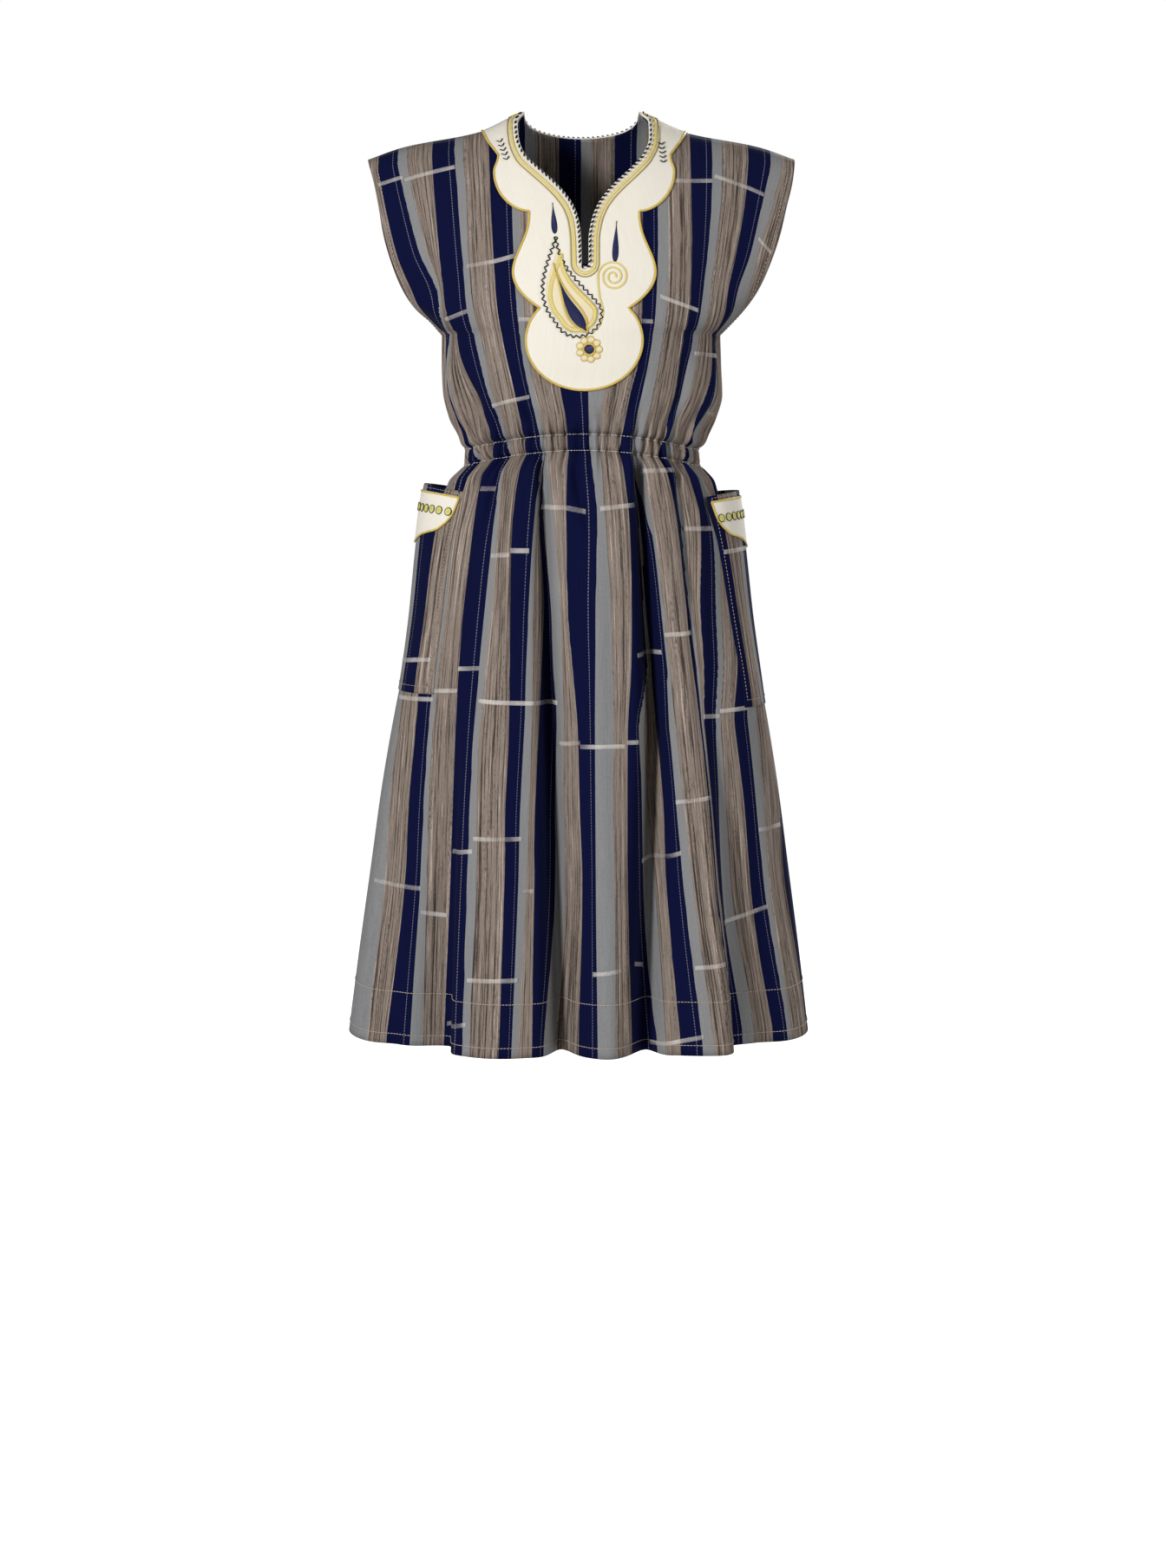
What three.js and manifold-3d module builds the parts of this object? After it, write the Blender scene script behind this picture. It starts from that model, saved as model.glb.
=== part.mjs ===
// A sleeveless smock dress of striped strip-woven cloth, as it hangs when it is worn.
//
// Millimetres, +Z up. The front faces -Y. Left and right are said as seen from in front, so left is
// -X. The origin is on the shoulder line, midway between the two sides of the neck, where the
// garment hangs from the shoulders.
//
// Each panel is one sheet from the shoulder seam to the hem. It is laid out by two numbers:
//   level  the height of a point of the side seam or armhole edge, 0 at the shoulder seam
//   share  the place across the panel, -1 at the left edge, 0 in the middle, 1 at the right edge
// Levels below the underarm are rounded half rings. Levels above it bend up to the shoulder line.

import * as THREE from "three";
import { mergeVertices } from "three/addons/utils/BufferGeometryUtils.js";
import Module from "manifold-3d";

const manifold = await Module();
manifold.setup();

// ---------------------------------------------------------------- driving dimensions

const WALL = 2;
const SEAM_GAP = 0.3;
const APPLIQUE_WALL = 1.6;
const BINDING_WALL = 1.4;
const BINDING_WIDTH = 10;

const UNDERARM_LEVEL = -229;
const CASING_TOP = -350;
const CASING_BOTTOM = -367;
const HIP_LEVEL = -640;
const HEM_LEVEL = -977;

// How much higher the front of the casing sits than its sides, and how much the hem dips, with the
// levels where each starts, is full or ends.
const CASING_RISE = { height: 17, start: UNDERARM_LEVEL, full: -330, fall: -372, end: -560 };
const HEM_DIP = { front: { depth: 5, start: -700 }, back: { depth: 6, start: -500 } };

const table = (columns, rows) =>
  rows.map((row) => Object.fromEntries(columns.map((column, place) => [column, row[place]])));

// Half rings from the underarm to the hem. left and right are the x of the side seams, front and
// back are the depths, and the powers square the rings off as a superellipse does (2 is round).
const RINGS = table(
  ["level", "left", "right", "front", "back", "frontPower", "backPower"],
  [
    [-229, -148.3, 147.9, 107, 98, 2.3, 2.3],
    [-262, -148.4, 149.0, 105, 95, 2.3, 2.3],
    [-292, -147.0, 150.3, 101, 92, 2.3, 2.3],
    [-318, -140.5, 143.0, 99, 90, 2.25, 2.25],
    [-340, -127.5, 130.5, 95, 86, 2.2, 2.2],
    [-354, -124.4, 125.6, 93, 84, 2.2, 2.2],
    [-367, -125.5, 127.4, 94, 85, 2.2, 2.2],
    [-385, -141.0, 141.3, 99, 92, 2.25, 2.25],
    [-415, -151.5, 150.5, 107, 101, 2.35, 2.3],
    [-465, -164.0, 162.5, 115, 109, 2.45, 2.35],
    [-520, -176.0, 174.5, 121, 115, 2.5, 2.4],
    [-613, -197.0, 195.5, 129, 124, 2.6, 2.45],
    [-707, -214.3, 211.5, 136, 130, 2.6, 2.45],
    [-802, -228.1, 224.4, 142, 135, 2.6, 2.45],
    [-898, -242.0, 237.3, 147, 140, 2.6, 2.45],
    [-977, -252.6, 246.9, 151, 144, 2.6, 2.45],
  ],
);

// The armhole edges: x of the left and right edge. climb is 0 at the underarm, 1 at the shoulder.
const ARMHOLE = table(
  ["climb", "left", "right"],
  [
    [0, -148.3, 147.9],
    [0.07, -159.5, 160.5],
    [0.14, -174.5, 172.5],
    [0.25, -188, 186.5],
    [0.38, -198, 197.5],
    [0.56, -207.8, 209],
    [0.72, -213, 216],
    [0.86, -218.5, 222.5],
    [1, -226.3, 226.4],
  ],
);
const SHOULDER_REACH = 226.4;

// Above the underarm a panel leans back from the chest to the shoulder line. chest is the depth of
// its middle at the underarm, leanPower and leanRoot shape its profile, and armhole is the depth of
// the armhole edge where it is deepest.
const UPPER = {
  front: { chest: 107, leanPower: 1.7, leanRoot: 0.62, armhole: 50 },
  back: { chest: 98, leanPower: 2.3, leanRoot: 0.6, armhole: 44 },
};
// The armhole's round bottom ends at this climb.
const ARMHOLE_BOTTOM = 0.4;
// How round a level is across: like the rings at the underarm, flatter from this climb up.
const ACROSS_POWER = 2.3;
const CHEST_ROUND = 2.3;
const SHOULDER_ROUND = 1.15;
const FLAT_FROM = 0.3;

// The shoulder line, out from the middle.
const SHOULDER = table(
  ["out", "height"],
  [
    [0, 6],
    [62, 3],
    [75, -1.5],
    [106, -15],
    [190, -32],
    [227, -44.8],
  ],
);

// The large folds of the skirt. Each is a soft trough (depth inward) or a ridge (minus), whose
// middle runs through an x at the waist, the hip and the hem. The two widths are at the hem, left
// and right of the middle, and a narrow side makes a lip that stands over the trough beside it.
const FOLDS = table(
  ["panel", "waistX", "hipX", "hemX", "waistDepth", "hipDepth", "hemDepth", "leftWidth", "rightWidth"],
  [
    ["front", -44, -34, -22, 8, 24, 40, 16, 17],
    ["front", 65, 79, 72, 9, 20, 30, 15, 14],
    ["front", 104, 121, 130, 6, 3, 0, 8, 8],
    ["front", 87, 115, 148, -3, -7, -10, 16, 16],
    ["front", -78, -84, -92, -2, -8, -18, 42, 42],
    ["front", 10, 22, 28, 0, -5, -16, 22, 22],
    ["front", 130, 128, 128, 0, -4, -12, 24, 30],
    ["front", -120, -133, -150, 0, 6, 38, 42, 10],
    ["front", 128, 142, 172, 0, 4, 28, 10, 36],
    ["front", -140, -180, -208, 0, 0, 8, 14, 14],
    ["front", 140, 180, 205, 0, 0, 8, 14, 14],
    ["back", -18, -30, -44, 7, 18, 30, 17, 20],
    ["back", 30, 42, 50, 5, 14, 26, 18, 16],
    ["back", -86, -108, -128, 6, 14, 26, 20, 16],
    ["back", 84, 112, 138, 5, 13, 24, 16, 22],
    ["back", 4, 6, 4, 0, -5, -12, 24, 24],
    ["back", -60, -72, -86, -2, -6, -12, 22, 20],
    ["back", 58, 78, 94, -2, -6, -12, 22, 22],
    ["back", -130, -160, -190, 0, 3, 9, 18, 18],
    ["back", 130, 165, 196, 0, 3, 9, 18, 18],
  ],
);
const FOLD_START = -350;
const FOLD_FULL = -400;
const FOLD_WIDTH_AT_WAIST = 0.45;

// The creases of the bodice that run from the underarms down to the casing, as shares. They come in
// and go out between these levels.
const CREASE_LEVELS = { start: -190, full: -235, fade: -325, end: CASING_TOP };
const UNDERARM_CREASES = table(
  ["panel", "topShare", "bottomShare", "depth", "width"],
  [
    ["front", -0.9, -0.78, 5, 0.05],
    ["front", 0.91, 0.76, 5, 0.05],
    ["back", -0.86, -0.72, 4, 0.06],
    ["back", 0.86, 0.72, 4, 0.06],
  ],
);

// Gathers: every second column stands out by this much where elastic draws the waist in.
const GATHERS = table(
  ["level", "swell"],
  [
    [-250, 0],
    [-292, 0.8],
    [-326, 2.2],
    [-350, 1.3],
    [-358, 1.2],
    [-366, 1.3],
    [-378, 2.6],
    [-412, 1.8],
    [-475, 0.6],
    [-560, 0],
  ],
);
// The middle of each panel is less drawn in than its sides.
const FLAT_MIDDLE = 0.1;
const FULL_GATHER = 0.4;

// The neck opening with its slit, cut through in front.
const FRONT_NECK = table(
  ["height", "left", "right"],
  [
    [3, -60.5, 61],
    [-8, -67, 71],
    [-26, -65.5, 71],
    [-43.5, -58.8, 64.4],
    [-57, -45.1, 52.6],
    [-71, -29.5, 37.9],
    [-83.5, -17.7, 26.2],
    [-98, -8, 16.6],
    [-115, -2.4, 10.7],
    [-133, -0.4, 8.1],
    [-157, 0.2, 8.1],
  ],
);
const SLIT_BOTTOM = -161;
const SLIT_MIDDLE = 4.2;
const BACK_NECK_BOTTOM = -20;
const NECK_SIDE = { left: -60.5, right: 61 };

// The scalloped yoke: half widths at its cusps and at the fullest place of each lobe. Above that
// place a lobe leaves the cusp in a soft double curve, and below it comes in again roundly, the more
// so the smaller its roundPower is.
const YOKE_MIDDLE = 3.2;
const YOKE_LOBES = table(
  ["startHeight", "startHalf", "fullHeight", "fullHalf", "endHeight", "endHalf", "roundPower"],
  [
    [-43, 89.6, -61, 93.8, -103, 57, 0.55],
    [-103, 57, -166, 73.7, -203, 45.5, 0.95],
  ],
);
const LOBE_SWELL_POWER = 1.4;
const YOKE_SHOULDER = { height: -15.7, half: 108 };
const YOKE_SHOULDER_CURVE = { height: -28, half: 101 };
const YOKE_FOOT = { height: -236, half: 60.3, drop: 51.5 };
const YOKE_BACK_BOTTOM = -66;

// Patch pockets that wrap round the side seams, in side view: y of the front and the back edge at
// the mouth and at the bottom. gape is how far the mouth stands off the skirt.
const POCKETS = table(
  ["name", "side", "mouth", "bottom", "frontTop", "frontBottom", "backTop", "backBottom", "gape"],
  [
    ["left", -1, -395, -606, -62, -92, 58, 50, 23],
    ["right", 1, -400, -621, -53.5, -80, 64, 62, 22],
  ],
);
// The gape across the pocket, as a power of a half sine, and how fast it closes downward.
const GAPE_ACROSS = 0.8;
const GAPE_DOWN = 1.4;

// The trim's lower edge, from the pocket's edge to its middle, in share of half the pocket.
const TRIM_DROP = 6.5;
const TRIM_FRONT_INSET = 2;
const TRIM_BACK_INSET = 4;
const TRIM_EDGE = table(
  ["across", "below"],
  [
    [0, 6.5],
    [0.05, 22],
    [0.12, 34],
    [0.22, 42],
    [0.36, 45],
    [0.54, 48],
    [0.8, 55],
    [1, 58],
  ],
);

// The rows of every panel's grid.
const LEVELS = [
  0, -5, -14, -28, -46, -70, -98, -128, -158, -188, -212, -224, -229, -252, -276, -298, -316, -332,
  -341, -350, -358.5, -367, -378, -394, -416, -448, -490, -540, -595, -655, -720, -790, -860, -920,
  -977,
];
const FRONT_COLUMNS = 42;
const BACK_COLUMNS = 28;

// ---------------------------------------------------------------- curves

// A smooth curve through a table's rows that never overshoots them (monotone cubic).
function curve(rows, inputName, outputName) {
  const sorted = [...rows].sort((first, second) => first[inputName] - second[inputName]);
  const inputs = sorted.map((row) => row[inputName]);
  const outputs = sorted.map((row) => row[outputName]);
  const last = inputs.length - 1;
  const gaps = [];
  const rises = [];
  for (let place = 0; place < last; place++) {
    gaps.push(inputs[place + 1] - inputs[place]);
    rises.push((outputs[place + 1] - outputs[place]) / gaps[place]);
  }
  const slopes = inputs.map((_, place) => {
    if (place === 0) return rises[0];
    if (place === last) return rises[last - 1];
    if (rises[place - 1] * rises[place] <= 0) return 0;
    const before = 2 * gaps[place] + gaps[place - 1];
    const after = gaps[place] + 2 * gaps[place - 1];
    return (before + after) / (before / rises[place - 1] + after / rises[place]);
  });
  return (input) => {
    const held = THREE.MathUtils.clamp(input, inputs[0], inputs[last]);
    let place = 0;
    while (place < last - 1 && held > inputs[place + 1]) place++;
    const gap = gaps[place];
    const part = (held - inputs[place]) / gap;
    const rest = 1 - part;
    return (
      outputs[place] * (1 + 2 * part) * rest * rest +
      gap * slopes[place] * part * rest * rest +
      outputs[place + 1] * part * part * (3 - 2 * part) -
      gap * slopes[place + 1] * part * part * rest
    );
  };
}

// 0 before start, 1 after end, smooth between. start may be above end.
function ease(start, end, value) {
  const part = THREE.MathUtils.clamp((value - start) / (end - start), 0, 1);
  return part * part * (3 - 2 * part);
}

const ringCurves = {
  left: curve(RINGS, "level", "left"),
  right: curve(RINGS, "level", "right"),
  front: curve(RINGS, "level", "front"),
  back: curve(RINGS, "level", "back"),
  frontPower: curve(RINGS, "level", "frontPower"),
  backPower: curve(RINGS, "level", "backPower"),
};
const armholeLeft = curve(ARMHOLE, "climb", "left");
const armholeRight = curve(ARMHOLE, "climb", "right");
const shoulderHeight = curve(SHOULDER, "out", "height");
const gatherSwell = curve(GATHERS, "level", "swell");

// ---------------------------------------------------------------- the panels' surface

const SAMPLES = 240;

// Depth of the middle of a panel above the underarm: full at the chest, none at the shoulder line.
function middleDepth(panel, climb) {
  const { chest, leanPower, leanRoot } = UPPER[panel];
  return chest * (1 - climb ** leanPower) ** leanRoot;
}

// Depth of the armhole edge: none at the underarm and at the shoulder tip.
function edgeDepth(panel, climb) {
  const opening = Math.sqrt(1 - (1 - Math.min(climb / ARMHOLE_BOTTOM, 1)) ** 2);
  return UPPER[panel].armhole * opening * Math.sqrt(1 - climb ** 3);
}

// One level of a panel above the underarm, from the left armhole edge to the right one.
function upperCurve(panel, level) {
  const climb = 1 - level / UNDERARM_LEVEL;
  const left = armholeLeft(climb);
  const right = armholeRight(climb);
  const edge = edgeDepth(panel, climb);
  const middle = middleDepth(panel, climb);
  const roundness = THREE.MathUtils.lerp(CHEST_ROUND, SHOULDER_ROUND, ease(0, FLAT_FROM, climb));
  const points = [];
  for (let step = 0; step <= SAMPLES; step++) {
    const across = -Math.cos((Math.PI * step) / SAMPLES);
    const bulge = Math.max(0, 1 - Math.abs(across) ** ACROSS_POWER) ** (1 / roundness);
    const top = shoulderHeight(Math.abs(across) * SHOULDER_REACH);
    points.push({
      x: (left + right) / 2 + ((right - left) / 2) * across,
      depth: edge + (middle - edge) * bulge,
      z: UNDERARM_LEVEL + climb * (top - UNDERARM_LEVEL),
    });
  }
  return points;
}

// One half ring of a panel below the underarm, from the left side seam to the right one.
function ringCurve(panel, level) {
  const left = ringCurves.left(level);
  const right = ringCurves.right(level);
  const depth = ringCurves[panel](level);
  const power = ringCurves[`${panel}Power`](level);
  const { height, start, full, fall, end } = CASING_RISE;
  const rise = panel === "front" ? height * ease(start, full, level) * (1 - ease(fall, end, level)) : 0;
  const lift = rise - HEM_DIP[panel].depth * ease(HEM_DIP[panel].start, HEM_LEVEL, level);
  const points = [];
  for (let step = 0; step <= SAMPLES; step++) {
    const angle = (Math.PI * step) / SAMPLES;
    const cosine = -Math.cos(angle);
    const across = Math.sign(cosine) * Math.abs(cosine) ** (2 / power);
    points.push({
      x: (left + right) / 2 + ((right - left) / 2) * across,
      depth: depth * Math.max(0, Math.sin(angle)) ** (2 / power),
      z: level + lift * (1 - across * across),
    });
  }
  return points;
}

// Lengths along a level's curve as seen from above.
function withLengths(points) {
  let length = 0;
  return points.map((point, place) => {
    if (place > 0) {
      const before = points[place - 1];
      length += Math.hypot(point.x - before.x, point.depth - before.depth);
    }
    return { ...point, length };
  });
}

// The point at a length along a level's curve.
function pointAtLength(points, length) {
  const last = points.length - 1;
  const held = THREE.MathUtils.clamp(length, 0, points[last].length);
  let place = 0;
  while (place < last - 1 && points[place + 1].length < held) place++;
  const start = points[place];
  const end = points[place + 1];
  const part = (held - start.length) / (end.length - start.length);
  return {
    x: THREE.MathUtils.lerp(start.x, end.x, part),
    depth: THREE.MathUtils.lerp(start.depth, end.depth, part),
    z: THREE.MathUtils.lerp(start.z, end.z, part),
  };
}

// How far the skirt's folds draw a point in.
function foldDepth(panel, level, x) {
  if (level > FOLD_START) return 0;
  const started = ease(FOLD_START, FOLD_FULL, level);
  const belowHip = level < HIP_LEVEL;
  const part = belowHip
    ? (level - HIP_LEVEL) / (HEM_LEVEL - HIP_LEVEL)
    : (level - CASING_BOTTOM) / (HIP_LEVEL - CASING_BOTTOM);
  const down = (level - CASING_BOTTOM) / (HEM_LEVEL - CASING_BOTTOM);
  const widening = THREE.MathUtils.lerp(FOLD_WIDTH_AT_WAIST, 1, Math.max(0, down));
  let total = 0;
  for (const fold of FOLDS) {
    if (fold.panel !== panel) continue;
    const middle = belowHip
      ? THREE.MathUtils.lerp(fold.hipX, fold.hemX, part)
      : THREE.MathUtils.lerp(fold.waistX, fold.hipX, part);
    const depth = belowHip
      ? THREE.MathUtils.lerp(fold.hipDepth, fold.hemDepth, part)
      : THREE.MathUtils.lerp(fold.waistDepth, fold.hipDepth, part);
    const width = widening * (x < middle ? fold.leftWidth : fold.rightWidth);
    total += depth * Math.exp(-(((x - middle) / width) ** 2));
  }
  return started * total;
}

// How far the bodice's creases draw a point in.
function creaseDepth(panel, level, share) {
  const { start, full, fade, end } = CREASE_LEVELS;
  const along = ease(start, full, level) * (1 - ease(fade, end, level));
  const down = THREE.MathUtils.clamp((level - start) / (end - start), 0, 1);
  let total = 0;
  for (const crease of UNDERARM_CREASES) {
    if (crease.panel !== panel) continue;
    const middle = THREE.MathUtils.lerp(crease.topShare, crease.bottomShare, down);
    total += crease.depth * Math.exp(-(((share - middle) / crease.width) ** 2));
  }
  return along * total;
}

// One row of a panel's outer points at a level.
function panelRow(panel, level, columns) {
  const facing = panel === "front" ? -1 : 1;
  const curvePoints = level > UNDERARM_LEVEL ? upperCurve(panel, level) : ringCurve(panel, level);
  const points = withLengths(curvePoints);
  const girth = points[points.length - 1].length;
  const row = [];
  for (let column = 0; column <= columns; column++) {
    const share = (2 * column) / columns - 1;
    const length = ((share + 1) / 2) * girth;
    const point = pointAtLength(points, length);
    const before = pointAtLength(points, length - 1);
    const after = pointAtLength(points, length + 1);
    const tangentX = after.x - before.x;
    const tangentDepth = after.depth - before.depth;
    const size = Math.hypot(tangentX, tangentDepth);
    const onSeam = column === 0 || column === columns;
    const gathered = onSeam ? 0 : ease(FLAT_MIDDLE, FULL_GATHER, Math.abs(share));
    const gather = gatherSwell(level) * gathered * (column % 2 === 0 ? 1 : -1);
    const inward = foldDepth(panel, level, point.x) + creaseDepth(panel, level, share) - gather;
    const x = point.x + (tangentDepth / size) * inward;
    const depth = onSeam ? point.depth : point.depth - (tangentX / size) * inward;
    row.push(new THREE.Vector3(x, facing * (depth + SEAM_GAP / 2), point.z));
  }
  return row;
}

// A panel's outer points with the outward direction at each.
function panelGrid(panel, columns) {
  const rows = LEVELS.map((level) => panelRow(panel, level, columns));
  const facing = panel === "front" ? 1 : -1;
  const normals = rows.map((row, rowPlace) =>
    row.map((_, column) => {
      const above = rows[Math.max(rowPlace - 1, 0)][column];
      const below = rows[Math.min(rowPlace + 1, rows.length - 1)][column];
      const before = row[Math.max(column - 1, 0)];
      const after = row[Math.min(column + 1, columns)];
      const down = new THREE.Vector3().subVectors(below, above);
      const across = new THREE.Vector3().subVectors(after, before);
      const normal = new THREE.Vector3().crossVectors(down, across).multiplyScalar(facing);
      const onSideSeam = (column === 0 || column === columns) && LEVELS[rowPlace] <= UNDERARM_LEVEL;
      const onShoulder = rowPlace === 0;
      if (onShoulder) normal.set(-across.z / across.x, 0, 1);
      if (onSideSeam) normal.y = 0;
      return normal.normalize();
    }),
  );
  return { rows, normals, facing };
}

// ---------------------------------------------------------------- solids

// A closed wall between two heights above a grid of points. offset(row, column) gives the inner
// and the outer height. facing is 1 when the columns run left to right as seen from outside.
function wall(grid, offset) {
  const rowCount = grid.rows.length;
  const columnCount = grid.rows[0].length;
  const positions = [];
  for (const surface of [0, 1]) {
    for (let row = 0; row < rowCount; row++) {
      for (let column = 0; column < columnCount; column++) {
        const height = offset(row, column)[surface];
        const point = grid.rows[row][column].clone().addScaledVector(grid.normals[row][column], height);
        positions.push(point.x, point.y, point.z);
      }
    }
  }
  const inner = (row, column) => row * columnCount + column;
  const outer = (row, column) => rowCount * columnCount + inner(row, column);
  const triangles = [];
  const quad = (first, second, third, fourth) => {
    if (grid.facing > 0) triangles.push(first, second, third, first, third, fourth);
    else triangles.push(first, third, second, first, fourth, third);
  };
  for (let row = 0; row < rowCount - 1; row++) {
    for (let column = 0; column < columnCount - 1; column++) {
      quad(outer(row, column), outer(row + 1, column), outer(row + 1, column + 1), outer(row, column + 1));
      quad(inner(row, column), inner(row, column + 1), inner(row + 1, column + 1), inner(row + 1, column));
    }
    const last = columnCount - 1;
    quad(inner(row, 0), inner(row + 1, 0), outer(row + 1, 0), outer(row, 0));
    quad(inner(row, last), outer(row, last), outer(row + 1, last), inner(row + 1, last));
  }
  for (let column = 0; column < columnCount - 1; column++) {
    const last = rowCount - 1;
    quad(inner(0, column), outer(0, column), outer(0, column + 1), inner(0, column + 1));
    quad(inner(last, column), inner(last, column + 1), outer(last, column + 1), outer(last, column));
  }
  const geometry = new THREE.BufferGeometry();
  geometry.setAttribute("position", new THREE.Float32BufferAttribute(positions, 3));
  geometry.setIndex(triangles);
  return geometry;
}

// Part of a grid.
function subGrid(grid, rowRange, columnRange) {
  const cut = (rows) =>
    rows.slice(rowRange[0], rowRange[1] + 1).map((row) => row.slice(columnRange[0], columnRange[1] + 1));
  return { rows: cut(grid.rows), normals: cut(grid.normals), facing: grid.facing };
}

function toSolid(geometry) {
  const bare = geometry.clone();
  bare.deleteAttribute("normal");
  bare.deleteAttribute("uv");
  const merged = mergeVertices(bare, 1e-4);
  return new manifold.Manifold(
    new manifold.Mesh({
      numProp: 3,
      vertProperties: new Float32Array(merged.attributes.position.array),
      triVerts: new Uint32Array(merged.index.array),
    }),
  );
}

function toGeometry(solid) {
  const mesh = solid.getMesh();
  const geometry = new THREE.BufferGeometry();
  geometry.setAttribute("position", new THREE.Float32BufferAttribute(mesh.vertProperties, 3));
  geometry.setIndex([...mesh.triVerts]);
  geometry.computeVertexNormals();
  return geometry;
}

// A prism from a flat outline. The outline's first axis is x (or y for a side view) and its second
// is z, and the prism runs between two places on the remaining axis.
function prism(outline, axis, from, to) {
  const shape = new THREE.Shape(outline.map(([first, second]) => new THREE.Vector2(first, second)));
  const geometry = new THREE.ExtrudeGeometry(shape, { depth: to - from, bevelEnabled: false });
  const basis = new THREE.Matrix4();
  if (axis === "y") {
    // The extrusion runs toward -Y, so it starts at the higher y.
    basis.makeBasis(
      new THREE.Vector3(1, 0, 0),
      new THREE.Vector3(0, 0, 1),
      new THREE.Vector3(0, -1, 0),
    );
    basis.setPosition(0, to, 0);
  } else {
    basis.makeBasis(
      new THREE.Vector3(0, 1, 0),
      new THREE.Vector3(0, 0, 1),
      new THREE.Vector3(1, 0, 0),
    );
    basis.setPosition(from, 0, 0);
  }
  geometry.applyMatrix4(basis);
  return toSolid(geometry);
}

// ---------------------------------------------------------------- outlines

const ABOVE = 60;
const neckLeft = curve(FRONT_NECK, "height", "left");
const neckRight = curve(FRONT_NECK, "height", "right");

// The edge of the neck opening from the left shoulder down round the slit to the right shoulder.
function neckEdge() {
  const steps = 22;
  const top = FRONT_NECK[0].height;
  const bottom = FRONT_NECK[FRONT_NECK.length - 1].height;
  const heights = [];
  for (let step = 0; step <= steps; step++) {
    heights.push(top + (bottom - top) * (step / steps));
  }
  const leftSide = heights.map((height) => [neckLeft(height), height]);
  const rightSide = heights.map((height) => [neckRight(height), height]).reverse();
  return [...leftSide, [SLIT_MIDDLE, SLIT_BOTTOM], ...rightSide];
}

// The back neck edge: a shallow scoop between the same two shoulder points.
function backNeckEdge() {
  const steps = 16;
  const points = [];
  const half = (NECK_SIDE.right - NECK_SIDE.left) / 2;
  const middle = (NECK_SIDE.right + NECK_SIDE.left) / 2;
  const top = FRONT_NECK[0].height;
  for (let step = 0; step <= steps; step++) {
    const angle = (Math.PI * step) / steps;
    const across = -Math.cos(angle);
    points.push([middle + half * across, top + (BACK_NECK_BOTTOM - top) * Math.sin(angle) ** 0.8]);
  }
  return points;
}

// An edge moved away from the opening it surrounds.
function spread(edge, distance) {
  return edge.map((point, place) => {
    const before = edge[Math.max(place - 1, 0)];
    const after = edge[Math.min(place + 1, edge.length - 1)];
    const run = [after[0] - before[0], after[1] - before[1]];
    const length = Math.hypot(run[0], run[1]);
    return [point[0] + (run[1] / length) * distance, point[1] - (run[0] / length) * distance];
  });
}

// An edge between the shoulders, closed above them.
function closedAbove(edge) {
  const first = edge[0];
  const last = edge[edge.length - 1];
  return [[first[0], ABOVE], ...edge, [last[0], ABOVE]];
}

// Half of a scalloped lobe's curve: it leaves a cusp, swells to its fullest and comes in again.
function lobe(row, steps) {
  const points = [];
  for (let step = 0; step < steps; step++) {
    const part = step / steps;
    const height = THREE.MathUtils.lerp(row.startHeight, row.endHeight, part);
    const beforeFull = height > row.fullHeight;
    const span = beforeFull ? row.startHeight - row.fullHeight : row.fullHeight - row.endHeight;
    const away = Math.abs(height - row.fullHeight) / span;
    const rise = beforeFull
      ? ease(1, 0, away) ** LOBE_SWELL_POWER
      : Math.max(0, 1 - away * away) ** row.roundPower;
    const cusp = beforeFull ? row.startHalf : row.endHalf;
    points.push([cusp + (row.fullHalf - cusp) * rise, height]);
  }
  return points;
}

// The yoke's right half outline from the shoulder to its foot, as half width and height.
function yokeHalf() {
  const points = [
    [YOKE_SHOULDER.half, YOKE_SHOULDER.height],
    [YOKE_SHOULDER_CURVE.half, YOKE_SHOULDER_CURVE.height],
  ];
  for (const row of YOKE_LOBES) points.push(...lobe(row, 9));
  const last = YOKE_LOBES[YOKE_LOBES.length - 1];
  const start = Math.acos(last.endHalf / YOKE_FOOT.half);
  const steps = 12;
  for (let step = 0; step <= steps; step++) {
    const angle = THREE.MathUtils.lerp(start, -Math.PI / 2, step / steps);
    const reach = angle > 0 ? (last.endHeight - YOKE_FOOT.height) / Math.sin(start) : YOKE_FOOT.drop;
    points.push([YOKE_FOOT.half * Math.cos(angle), YOKE_FOOT.height + reach * Math.sin(angle)]);
  }
  return points;
}

function yokeEdge() {
  const half = yokeHalf();
  const left = half.map(([reach, height]) => [YOKE_MIDDLE - reach, height]);
  const right = half.map(([reach, height]) => [YOKE_MIDDLE + reach, height]).reverse();
  return [...left, ...right.slice(1)];
}

// The yoke goes on round the back of the neck as a plain band.
function yokeBackEdge() {
  const steps = 20;
  const points = [];
  for (let step = 0; step <= steps; step++) {
    const angle = (Math.PI * step) / steps;
    const drop = Math.sin(angle) ** 0.75;
    points.push([
      YOKE_MIDDLE - YOKE_SHOULDER.half * Math.cos(angle),
      THREE.MathUtils.lerp(YOKE_SHOULDER.height, YOKE_BACK_BOTTOM, drop),
    ]);
  }
  return points;
}

// ---------------------------------------------------------------- materials

const cloth = (colour) => new THREE.MeshStandardMaterial({ color: colour, roughness: 0.88, metalness: 0 });
const STRIPED = 0x4a4a5c;
const CREAM = 0xece4d0;
const SATIN = 0xe8d59a;

function part(name, geometry, colour) {
  const mesh = new THREE.Mesh(geometry, cloth(colour));
  mesh.name = name;
  return mesh;
}

// ---------------------------------------------------------------- the garment

const frontGrid = panelGrid("front", FRONT_COLUMNS);
const backGrid = panelGrid("back", BACK_COLUMNS);
const insideOut = () => [-WALL, 0];

const FAR = 300;
const frontNeckCutter = prism(closedAbove(neckEdge()), "y", -FAR, 1);
const backNeckCutter = prism(closedAbove(backNeckEdge()), "y", -1, FAR);

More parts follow.
